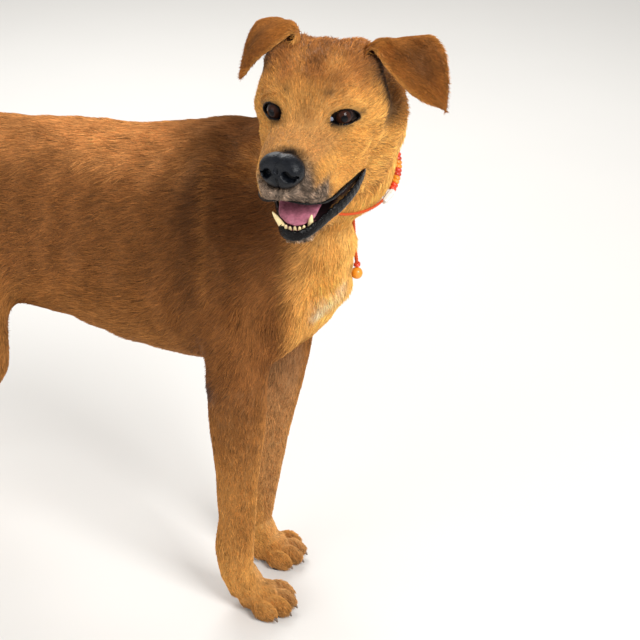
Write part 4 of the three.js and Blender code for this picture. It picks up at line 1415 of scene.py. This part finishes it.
def ear_leaf(name):
    """An ear as a bowed leaf. Round each ring the first half runs over the back of the leaf
    and the second half comes back inside it. Returns the shell and, for each vertex, how
    far along the ear, how far across it, and 1 on the back or 0 inside."""
    front, rear, bow = EARS[name]
    rows, around = 46, 64
    a, b = through(front, rows), through(rear, rows)
    t = np.linspace(0, 1, rows)[:, None]
    angle = np.arange(around) / around * math.tau
    u = (1 - np.cos(angle))[None] / 2
    chord = b - a
    along = unit(np.gradient(a, axis=0) + np.gradient(b, axis=0))
    out = unit(np.cross(along, chord))
    hand = math.copysign(1, bow)
    bulge = bow * 4 * u * (1 - u) * (1 - 0.6 * t)
    ridge, hollow = np.exp(-((u - 0.3) / 0.08) ** 2), np.exp(-((u - 0.6) / 0.16) ** 2)
    crease = np.exp(-((u - 0.86) / 0.045) ** 2) * ramp(t, 0.3, 0.55)
    fold = hand * (1.6 * ridge * (1 - t) - 3.0 * hollow * np.sin(math.pi * t) - 1.4 * crease)
    half = 2.3 - 0.8 * t
    thick = half * np.sin(angle)[None] * (0.55 + 0.45 * np.sqrt(4 * u * (1 - u)))
    tip = np.sqrt(np.clip(1 - t ** 14, 0, 1))
    u_in = 0.5 + (u - 0.5) * (0.25 + 0.75 * tip)
    p = (a[:, None] + chord[:, None] * u_in[..., None]
         + (bulge + fold + hand * thick)[..., None] * out[:, None])
    points, faces = shell(p)
    side = np.broadcast_to(np.sin(angle)[None] >= 0, (rows, around)).reshape(-1)
    side = np.concatenate([side, [True, True]])
    length = np.concatenate([np.broadcast_to(t, (rows, around)).reshape(-1), [0.0, 1.0]])
    across = np.concatenate([np.broadcast_to(u, (rows, around)).reshape(-1), [0.5, 0.5]])
    return HEAD.out(points), faces, length, across, side


def ear_marks(length, across, back, tints, points):
    """Colours of the ears: brown outside, paler at the root and the edge, with painted shade in
    the hollow and along the crease; pinkish skin inside, paler at the edge, with painted shade at the
    root."""
    edge = np.abs(across - 0.5)
    outside = Layers(tints, "ear", len(length))
    # Painted shade in the hollow of the leaf and along its crease.
    hollow = np.exp(-((length - 0.52) / 0.20) ** 2 - ((across - 0.5) / 0.26) ** 2)
    outside.add("dark_and_shade", 0.55 * hollow)
    crease = np.exp(-((across - 0.84) / 0.05) ** 2)
    outside.add("dark_and_shade", 0.3 * crease * ramp(length, 0.2, 0.5))
    outside.add("face", 0.35 * ramp(-length, -0.3, 0))
    outside.add("face", 0.35 * ramp(edge, 0.4, 0.5))
    inside = Layers(tints, "ear_inside", len(length))
    # Painted shade at the root inside the ear.
    inside.add("dark_and_shade", 0.55 * ramp(-length, -0.5, -0.1))
    inside.add("face", 0.6 * ramp(edge, 0.34, 0.5))
    mark = np.where(back[:, None], outside.colour, inside.colour)
    return mark * (1 + 0.08 * ripple(into_body(points), 12, 31))[:, None]


# ---- Paws ----

PAW_PLACES = {
    # Place of the paw's middle, turn in degrees and size, in the body's frame.
    "front_right": ((7, -59), -4, 1.14), "front_left": ((-17, 38), 6, 1.12),
    "hind_right": ((-470, -70), -3, 0.94), "hind_left": ((-550, 70), 3, 0.94),
}
TOES = (-1.5, -0.5, 0.5, 1.5)


def on_paw(name, points_mm):
    """Millimetres in a paw's own frame (ahead, aside, up) to the row's frame."""
    (x, y), turn, size = PAW_PLACES[name]
    turn = math.radians(turn)
    p = np.asarray(points_mm, float) * (size, size, 1)
    ahead = np.array([math.cos(turn), math.sin(turn), 0])
    aside = np.array([-math.sin(turn), math.cos(turn), 0])
    flat = p[..., :1] * ahead + p[..., 1:2] * aside
    return body(flat + np.concatenate([np.zeros_like(p[..., :2]), p[..., 2:]], -1) + (x, y, 0))


def toe_place(step):
    """How far ahead and aside a toe is; the outer toes stand back."""
    return (17 if abs(step) > 1 else 26), 13.5 * step


FLATTENED = 2.2  # height below which a pad is pressed flat
PRESSED = 0.25  # what is left of its height there


def claws(name):
    """Four blunt curved claws of one paw, oval in section and narrowing to the tip."""
    parts = []
    for step in TOES:
        ahead, aside = toe_place(step)
        path = through([
            (ahead + 6, aside + 0.9 * step, 12), (ahead + 11.5, aside + 1.2 * step, 11),
            (ahead + 15, aside + 1.4 * step, 8), (ahead + 17.2, aside + 1.5 * step, 4.6)], 20)
        t = np.linspace(0, 1, 20)
        radius = (2.5 - 1.3 * t ** 1.2) * np.sqrt(np.clip(1 - t ** 9, 0.03, 1))
        p, f = shell(sections(path, radius * 0.8, radius, (0, 0, 1), 14))
        parts.append((on_paw(name, p), f))
    return joined(parts)[:2]


def pads(name):
    """The four toe pads and the main pad of one paw, squashed flat where they bear."""
    places = [((toe_place(s)[0] - 2, 0.94 * toe_place(s)[1], 5.0), (7.6, 4.8, 5.0)) for s in TOES]
    places.append(((-3, 0, 5.6), (11.0, 12.5, 5.6)))
    parts = []
    for at, radii in places:
        p, f = shell(ball(24, 32) * radii + at)
        low, high = PRESSED * p[:, 2], p[:, 2] - (1 - PRESSED) * FLATTENED
        p[:, 2] = np.where(p[:, 2] < FLATTENED, low, high) + 0.02
        parts.append((on_paw(name, p), f))
    return joined(parts)[:2]


# ---- Collar ----

NECK_LINE = unit((0.5, -0.45, 0.74))
COLLAR_LEFT = np.array([0.35, 0.94, 0.0])
COLLAR_LEFT = unit(COLLAR_LEFT - (COLLAR_LEFT @ NECK_LINE) * NECK_LINE)
COLLAR_TOP = np.cross(NECK_LINE, COLLAR_LEFT)
COLLAR_CENTRE = np.array([85.0, -6.2, 580.3])
COLLAR_RADIUS = 71.5
CLIP_ANGLE, BARE_ANGLE = math.radians(-72), math.radians(-150)


def on_collar(angle, radius, along=0.0):
    """A place on the collar, square to the neck, in millimetres of the body's frame."""
    angle, radius = np.asarray(angle, float)[..., None], np.asarray(radius, float)[..., None]
    return (COLLAR_CENTRE + radius * (np.cos(angle) * COLLAR_LEFT + np.sin(angle) * COLLAR_TOP)
            + np.asarray(along, float)[..., None] * NECK_LINE)


def collar_beads():
    """Glass beads strung close together, each leaning across the cord like a turn of rope."""
    start, end = CLIP_ANGLE + 0.16, BARE_ANGLE + math.tau
    count = 72
    step = (end - start) / (count - 1)
    parts, tones = [], []
    ways = ball(10, 14)
    for k in range(count):
        angle = start + k * step
        middle = on_collar(angle, COLLAR_RADIUS)
        along = on_collar(angle + 0.01, COLLAR_RADIUS) - on_collar(angle - 0.01, COLLAR_RADIUS)
        along = unit(along)
        out = unit(on_collar(angle, COLLAR_RADIUS + 1) - middle)
        lean = unit(along + 0.55 * NECK_LINE)
        across = np.cross(out, lean)
        axes = np.stack([lean, out, across])
        p, f = shell(np.sign(ways) * np.abs(ways) ** 0.92 * (3.0, 4.6, 5.1) @ axes + middle)
        parts.append((body(p), f))
        # Every other pair of beads takes the yellow tint, partly as painted highlight along the twist
        # of the string.
        tones.append((k // 2) % 2)
    points, faces, label = joined(parts)
    return points, faces, np.asarray(tones)[label], label


def twisted(path_mm, radius, turn_length, strands=2):
    """A cord of strands wound round each other along a path, in the body's frame."""
    path = np.asarray(path_mm, float)
    along = unit(np.gradient(path, axis=0))
    run = np.concatenate([[0], np.cumsum(np.linalg.norm(np.diff(path, axis=0), axis=1))])
    side = unit(np.cross(along, (0.31, 0.92, 0.24)))
    top = np.cross(along, side)
    parts = []
    for k in range(strands):
        turn = (run / turn_length + k / strands) * math.tau
        line = path + 0.5 * radius * (np.cos(turn)[:, None] * side + np.sin(turn)[:, None] * top)
        p, f = shell(sections(line, 0.56 * radius, 0.56 * radius, NECK_LINE + 0.01, 8))
        parts.append((body(p), f))
    return joined(parts)[:2]


def bare_cord():
    """The cord under the throat, which carries no beads."""
    angle = np.linspace(BARE_ANGLE - 0.12, CLIP_ANGLE - 0.05, 150)
    return twisted(on_collar(angle, COLLAR_RADIUS - 0.6), 1.6, 4.6)


def hanging_cord():
    """The loose end of the cord: down the left of the breast, with a knot above the bead."""
    start = on_collar(0.0, COLLAR_RADIUS + 7.7)
    path = through([start, (99, 64, 556), (86, 57, 502), (92, 41, 462), (99.6, 28, 438)], 190)
    return twisted(path, 2.1, 5.6)


def hanging_bead():
    """A round bead with a knot of cord over it."""
    ways = ball(22, 28)
    bead = shell(ways * (6.6, 6.6, 6.9) + (101, 24, 428))
    turn = np.linspace(0, math.tau * 2.4, 60)
    knot = np.stack([100.4 + 2.6 * np.cos(turn), 26.2 + 2.6 * np.sin(turn), 435.5 + turn * 0.26], 1)
    wound = shell(sections(knot, 1.3 * rounded(60), 1.3 * rounded(60), (0, 0, 1), 8))
    points, faces, label = joined([bead, wound])
    return body(points), faces, label


# ---- Pieces, one operator for each group of like pieces ----

SLOTS = {"head": "face_coat", "front_legs": "leg_coat", "hind_legs": "leg_coat"}
UNDER_COAT, UNDER_EAR_COAT = 0.8, 0.85  # how dark the skin is beside the coat over it

MADE = {}


# How far the skin is drawn in, in millimetres.
BREAST_IN = 7.0
JAW_RIGHT_IN, JAW_LEFT_IN, MUZZLE_RIGHT_IN = 6.5, 3.5, 2.6


def drawn_in(points):
    """The skin of the open jaw drawn in to meet the lips, most under the right canine, the
    right side of the muzzle a little beside the nose, and the breast behind the bead."""
    x, _, z = into_body(points).T
    breast = ramp(x, 50, 85) * ramp(z, 412, 438) * (1 - ramp(z, 452, 478))
    points = points - (BREAST_IN * MM, 0, 0) * breast[:, None]
    h = HEAD.into(points)
    f, l, u = h.T
    low = ramp(-u, 64, 72) * (1 - ramp(-u, 112, 135))
    aside = JAW_RIGHT_IN * ramp(f, 0, 34) * ramp(-l, 4, 18) * low
    aside -= JAW_LEFT_IN * ramp(f, 36, 56) * ramp(l, 12, 24) * low
    aside += MUZZLE_RIGHT_IN * ramp(f, 50, 80) * ramp(-l, 12, 28) * ramp(u, -66, -58)
    h[:, 1] += aside
    return HEAD.out(h)


def skin_shape():
    """The skin with the lids opened, worked out once and kept for the coat."""
    if "skin" not in MADE:
        points, faces = skin_surface(sizes())
        points = drawn_in(points)
        points = open_lids(points, sizes().eyeball / MM)
        MADE["skin"] = (points, faces, vertex_normals(points, faces))
    return MADE["skin"]


class Build(bpy.types.Operator):
    """Base of the build steps: an error in one stops the script."""
    bl_options = {"REGISTER", "UNDO"}

    def execute(self, context):
        self.build(sizes(), colours())
        return {"FINISHED"}


class DOG_OT_skin(Build):
    """Builds one smooth skin over all the flesh, coloured like the coat"""
    bl_idname = "dog.skin"
    bl_label = "Skin"

    def build(self, size, tints):
        points, faces, _ = skin_shape()
        mesh = make_mesh("skin", points, faces)
        marks, _ = markings(points, tints)
        set_attribute(mesh, "marks", marks * UNDER_COAT, "FLOAT_COLOR")
        piece("skin", mesh, skin_finish("skin"), FLESH)


class DOG_OT_ears(Build):
    """Builds the two ears as bowed leaves with a coat outside and skin inside"""
    bl_idname = "dog.ears"
    bl_label = "Ears"

    def build(self, size, tints):
        finish = skin_finish("ear_skin")
        for name, _ in SIDES:
            points, faces, length, across, back = ear_leaf(name)
            mesh = make_mesh("ear_" + name, points, faces)
            marks = ear_marks(length, across, back, tints, points)
            set_attribute(mesh, "marks", marks * UNDER_EAR_COAT, "FLOAT_COLOR")
            piece("ear_leaf_" + name, mesh, finish, ["ear_" + name])


class DOG_OT_eyes(Build):
    """Builds the eyeballs, the black rims of the lids and the fold in their inner corner"""
    bl_idname = "dog.eyes"
    bl_label = "Eyes"

    def build(self, size, tints):
        finish = eye_finish(tints)
        rim = leather_finish("lid_rim", tints.lip, 1800, 0.25, 0.0001, 0.12)
        # The haw's pale blue-grey, partly painted reflection.
        wet = leather_finish("haw_and_reflection", tints.haw_and_reflection, 900, 0.12, 0.0001)
        for name, eye in EYES.items():
            points, faces, polar = eyeball(eye, size.eyeball)
            mesh = make_mesh("eyeball_" + name, points, faces)
            set_attribute(mesh, "polar", polar)
            piece("eyeball_" + name, mesh, finish, ["eye_" + name])
            plain_piece("lid_rim_" + name, lid_rims(eye, size.eyeball / MM), rim)
            plain_piece("haw_" + name, haw_and_reflection(eye, size.eyeball / MM), wet)


class DOG_OT_nose(Build):
    """Builds the nose leather with its nostrils and middle groove"""
    bl_idname = "dog.nose"
    bl_label = "Nose"

    def build(self, size, tints):
        points, faces = nose_leather()
        leather = leather_finish("nose", tints.nose, 900, 0.3, 0.0004)
        plain_piece("nose_leather", (HEAD.out(points), faces), leather, ["nose"])


class DOG_OT_mouth(Build):
    """Builds lips, gum, tongue and lower teeth"""
    bl_idname = "dog.mouth"
    bl_label = "Mouth"

    def build(self, size, tints):
        lip = leather_finish("lips", tints.lip, 700, 0.16, 0.0009, 0.13)
        gum = leather_finish("gum", tints.gum, 700, 0.25, 0.0002)
        tongue = leather_finish("tongue", tints.tongue, 1500, 0.32, 0.0004)
        enamel = leather_finish("enamel", tints.tooth, 300, 0.2, 0.00005)
        for name, shape, finish, slot, nodes in (
                ("lower_lip", lower_lip, lip, "lip_leather", []),
                ("upper_lip", upper_lip, lip, "lip_leather", []),
                ("gum_lower", gum_roll, gum, "mouth_lining", ["teeth_lower"]),
                ("teeth", lower_teeth, enamel, "teeth", ["teeth_lower"]),
                ("tongue_leaf", tongue_leaf, tongue, "tongue", ["tongue"])):
            points, faces = shape()
            plain_piece(name, (HEAD.out(points), faces), finish, nodes)


class DOG_OT_feet(Build):
    """Builds the claws and the pads"""
    bl_idname = "dog.feet"
    bl_label = "Claws and pads"

    def build(self, size, tints):
        horn = leather_finish("claw", tints.claw, 260, 0.4, 0.0001)
        sole = leather_finish("pad", tints.pad, 1200, 0.7, 0.0006)
        for name in PAW_PLACES:
            end, side = name.split("_")
            node = f"{end}_paw_{side}"
            plain_piece("claws_" + name, claws(name), horn, [node])
            plain_piece("pads_" + name, pads(name), sole, [node])


class DOG_OT_collar(Build):
    """Builds the beads, the bare cord, the clip's finish and the hanging end of the collar"""
    bl_idname = "dog.collar"
    bl_label = "Collar"

    def bead_finish(self):
        f = Finish("beads", Roughness=0.38, Specular_IOR_Level=0.5, Coat_Weight=0.3)
        f.colour(f.attribute("marks"))
        f.bump(f.noise(900, 3.0), 0.35, 0.0005)
        return f.material

    def cord_finish(self, tints):
        f = Finish("cord", Roughness=0.7)
        base = linear(tints.cord)
        f.colour(f.mix(f.spread(f.noise(1200, 3.0), 0.3, 0.7), tuple(base * 0.6), tuple(base * 1.25)))
        f.bump(f.noise(2600, 2.0), 0.6, 0.0004)
        return f.material

    def build(self, size, tints):
        points, faces, tone, label = collar_beads()
        mesh = make_mesh("collar_beads", points, faces)
        wear = np.random.default_rng(5).uniform(0.75, 1.15, label.max() + 1)[label]
        pair = np.stack([linear(tints.bead_red), linear(tints.bead_yellow_and_highlight)])
        # Every other pair of beads is yellow, partly as painted highlight.
        set_attribute(mesh, "marks", np.minimum(pair[tone] * wear[:, None], 1), "FLOAT_COLOR")
        beads, cord = self.bead_finish(), self.cord_finish(tints)
        piece("collar_beads", mesh, beads, ["collar"])
        plain_piece("collar_cord", bare_cord(), cord, ["collar"])
        plain_piece("hanging_cord", hanging_cord(), cord, ["collar_end"])
        points, faces, label = hanging_bead()
        mesh = make_mesh("hanging_bead", points, faces)
        set_attribute(mesh, "marks", pair[1 - label], "FLOAT_COLOR")
        piece("hanging_bead", mesh, beads, ["collar_end"])
        f = Finish("clip", Roughness=0.35, Specular_IOR_Level=0.5)
        base = linear(tints.clip)
        f.colour(f.mix(f.spread(f.noise(300, 4.0), 0.35, 0.7), tuple(base), tuple(base * 0.8)))
        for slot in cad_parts["collar_clip"].material_slots:
            slot.material = f.material


def ear_unwrap(name, length, across, back):
    """Where a place on an ear lies on the unwrap: an island for each side of each ear."""
    outer, inner = {"left": (0.60, 0.70), "right": (0.80, 0.90)}[name]
    start = np.where(back, outer, inner)
    return np.stack([start + 0.09 * across, 0.82 + 0.16 * length], 1)


class DOG_OT_coat(Build):
    """Builds the coat: tufts over the skin and the ears, in pieces of one region each"""
    bl_idname = "dog.coat"
    bl_label = "Coat"

    REGIONS = ("head", "neck", "trunk_right", "trunk_left", "rear", "front_legs", "hind_legs")
    ROOT_TO_TIP = np.array([0.52, 0.52, 0.95, 1.3])  # brightness of a tuft's four corners
    PATCH = 0.003 * np.array([(0, 0), (1, 0), (0.5, 0.5), (0.5, 1)])  # and their places on the unwrap

    @staticmethod
    def region(points):
        """Number of the coat piece that each root belongs to."""
        x, y, z = into_body(points).T
        number = {name: k for k, name in enumerate(DOG_OT_coat.REGIONS)}
        out = np.where(y < 0, number["trunk_right"], number["trunk_left"])
        out[x < -400] = number["rear"]
        out[(x > -10) & (z > 330)] = number["neck"]
        out[(z < 330) & (x > -200)] = number["front_legs"]
        out[(z < 330) & (x <= -200)] = number["hind_legs"]
        out[head_weight(points) > 0.5] = number["head"]
        return out

    def put(self, name, roots, normals, flow, length, width, marks, place, rng, finish, slot):
        """One piece of the coat: tufts at the roots, coloured and placed on the unwrap."""
        lift = 0.10 + 0.05 * ripple(into_body(roots), 30, 41)
        points, faces = spears(roots, normals, flow, length, width, lift, rng)
        colour, grey = marks
        tone = rng.normal(1.0, 0.24 + 0.42 * grey).clip(0.2, 2.4)
        colour = colour * tone[:, None]
        colour = (colour[:, None] * self.ROOT_TO_TIP[None, :, None]).reshape(-1, 3)
        mesh = make_mesh(name, points, faces, smooth=False)
        set_attribute(mesh, "marks", np.clip(colour, 0, 1), "FLOAT_COLOR")
        corner = (place[:, None] + self.PATCH).reshape(-1, 2)
        layer = mesh.uv_layers.new(name="OFBake")
        layer.data.foreach_set("uv", corner[faces].astype(np.float32).reshape(-1))
        piece(name, mesh, finish)

    def ears(self, size, tints, rng, finish):
        """Short tufts on both sides of each ear, lying from its root to its tip."""
        for name, _ in SIDES:
            points, faces, length, across, back = ear_leaf(name)
            normals = vertex_normals(points, faces)
            tip = points[length > 0.9].mean(0)
            root = points[length < 0.1].mean(0)
            inner = np.where(back[faces].all(1), 1.0, 0.4)
            roots, up, row = scattered(points, faces, normals, size.ear_hairs, inner, rng)
            some = faces[row]
            at_length, at_across = length[some].mean(1), across[some].mean(1)
            at_back = back[some].all(1)
            swirl = np.stack([ripple(roots / MM, 20, k) for k in (61, 62, 63)], 1)
            flow = unit(tip - root) + 0.25 * swirl
            flow = unit(flow - (flow * up).sum(1, keepdims=True) * up)
            long = size.ear_hair * (0.8 + 0.7 * ramp(-at_length, -0.35, 0))
            width = np.full(len(roots), 0.0007)
            colour = ear_marks(at_length, at_across, at_back, tints, roots)
            place = ear_unwrap(name, at_length, at_across, at_back)
            self.put("coat_ear_" + name, roots, up, flow, long, width,
                     (colour, np.zeros(len(roots))), place, rng, finish, "ear_coat")

    def build(self, size, tints):
        points, faces, normals = skin_shape()
        rng = np.random.default_rng(size.seed)
        finish = coat_finish("coat", 0.62)
        middle = points[faces].mean(1)
        region = self.region(middle)
        length, width = hair_size(middle, size)
        cover = 1 / (length * width)
        bare = self.bare(middle, face_normals(points, faces))
        for number, label in enumerate(self.REGIONS):
            rows = (region == number) & ~bare
            some = faces[rows]
            roots, up, _ = scattered(points, some, normals, size.hairs, cover[rows], rng)
            long, wide = hair_size(roots, size)
            self.put("coat_" + label, roots, up, coat_flow(roots, up), long, wide,
                     markings(roots, tints), unwrap(roots), rng, finish, SLOTS.get(label, "body_coat"))
        self.ears(size, tints, rng, finish)

    @staticmethod
    def bare(middle, area):
        """Faces that carry no hair: eye openings, mouth, nose bed and soles."""
        f, l, u = HEAD.into(middle).T
        eyes = np.zeros(len(middle), bool)
        for eye in EYES.values():
            a, o, v = eye.into(middle).T
            eyes |= (a > -2) & (eye.ring(o, v) < 1.2)
        soles = (middle[:, 2] < 9 * MM) & (unit(area)[:, 2] < -0.3)
        nose_bed = (f > 86) & (np.hypot((l + 3.5) / 20.5, (u + 17.5) / 16) < 1)
        return eyes | soles | nose_bed | (in_mouth(middle) > 0.35)


# ---- Stage ----

class DOG_OT_stage(Build):
    """Builds floor, backdrop, lamps and camera"""
    bl_idname = "dog.stage"
    bl_label = "Stage"

    CAMERA = (623, -1531, 1240)
    LOOK, RIGHT = (-0.302, 0.830, -0.4695), (0.94, 0.342, 0.0)
    LENS, SENSOR = 92.0, 36.0
    FLOOR = 6.0  # half the side of the floor, in metres
    LAMPS = (  # name, place, width in metres, watts
        ("key", (1900, -1200, 2100), 1.1, 74.0), ("fill", (-1500, -2000, 1300), 2.2, 20.0),
        ("back", (-900, 1500, 2000), 1.4, 36.0))
    AIM = (-150, 0, 380)  # the middle of the dog, which the lamps look at

    def build(self, size, tints):
        scene = bpy.context.scene
        self.floor(tints)
        for lamp in self.LAMPS:
            self.lamp(*lamp)
        scene.world = self.world()
        self.camera(scene)
        scene.view_settings.view_transform = "Standard"

    @staticmethod
    def world():
        """Even light from all round, with a backdrop of its own brightness to the camera."""
        world = bpy.data.worlds.new("studio")
        world.use_nodes = True
        tree = world.node_tree
        back = next(n for n in tree.nodes if n.type == "BACKGROUND")
        path = tree.nodes.new("ShaderNodeLightPath")
        mix = tree.nodes.new("ShaderNodeMixShader")
        seen = tree.nodes.new("ShaderNodeBackground")
        back.inputs["Color"].default_value = (1, 0.985, 0.965, 1)
        back.inputs["Strength"].default_value = 0.55
        seen.inputs["Color"].default_value = (0.9, 0.89, 0.87, 1)
        out = next(n for n in tree.nodes if n.type == "OUTPUT_WORLD")
        tree.links.new(path.outputs["Is Camera Ray"], mix.inputs[0])
        tree.links.new(back.outputs[0], mix.inputs[1])
        tree.links.new(seen.outputs[0], mix.inputs[2])
        tree.links.new(mix.outputs[0], out.inputs["Surface"])
        return world

    def floor(self, tints):
        """A wide flat floor with a faint mottle."""
        corners = np.array([(-1, -1, 0), (1, -1, 0), (1, 1, 0), (-1, 1, 0)]) * self.FLOOR
        mesh = make_mesh("floor", corners, np.array([[0, 1, 2, 3]]), smooth=False)
        f = Finish("floor", Roughness=0.8, Specular_IOR_Level=0.2)
        base = linear(tints.floor)
        f.colour(f.mix(f.spread(f.noise(1.5, 3.0), 0.3, 0.7), tuple(base * 0.97), tuple(base)))
        mesh.materials.append(f.material)
        obj = bpy.data.objects.new("floor", mesh)
        bpy.context.scene.collection.objects.link(obj)

    def lamp(self, name, place_mm, width, watts):
        """A square soft lamp aimed at the middle of the dog."""
        data = bpy.data.lights.new(name, "AREA")
        data.size = width
        data.energy = watts
        lamp = bpy.data.objects.new(name, data)
        lamp.location = body(place_mm)
        aim = np.array(lamp.location) - body(self.AIM)
        lamp.rotation_euler = Vector(aim).to_track_quat("Z", "Y").to_euler()
        bpy.context.scene.collection.objects.link(lamp)

    def camera(self, scene):
        """The camera, from its place, its line of sight and its level line to the right."""
        data = bpy.data.cameras.new("camera")
        data.lens, data.sensor_width = self.LENS, self.SENSOR
        camera = bpy.data.objects.new("camera", data)
        look, right = unit(self.LOOK), np.array(self.RIGHT)
        right = unit(right - (right @ look) * look)
        up = np.cross(right, look)
        turn = np.stack([right, up, -look], 1)
        matrix = np.eye(4)
        matrix[:3, :3], matrix[:3, 3] = turn, body(self.CAMERA)
        camera.matrix_world = Matrix(matrix.tolist())
        scene.collection.objects.link(camera)
        scene.camera = camera


STEPS = (DOG_OT_skin, DOG_OT_ears, DOG_OT_eyes, DOG_OT_nose, DOG_OT_mouth, DOG_OT_feet,
         DOG_OT_collar, DOG_OT_coat, DOG_OT_stage)


class DOG_PT_panel(bpy.types.Panel):
    """Lists the build steps with the sizes and colours"""
    bl_idname = "DOG_PT_panel"
    bl_label = "Tan Dog"
    bl_space_type = "VIEW_3D"
    bl_region_type = "UI"
    bl_category = "Tan Dog"

    def draw(self, context):
        for step in STEPS:
            self.layout.operator(step.bl_idname)
        for group in (sizes(), colours()):
            box = self.layout.box()
            for name in group.__annotations__:
                box.prop(group, name)


CLASSES = (DogSizes, DogColours, *STEPS, DOG_PT_panel)


def register():
    for cls in CLASSES:
        bpy.utils.register_class(cls)
    bpy.types.Scene.dog_sizes = PointerProperty(type=DogSizes)
    bpy.types.Scene.dog_colours = PointerProperty(type=DogColours)


def unregister():
    del bpy.types.Scene.dog_colours
    del bpy.types.Scene.dog_sizes
    for cls in reversed(CLASSES):
        bpy.utils.unregister_class(cls)


def main():
    """Runs every build step."""
    register()
    for step in STEPS:
        group, name = step.bl_idname.split(".")
        getattr(getattr(bpy.ops, group), name)()


if __name__ == "__main__":
    main()
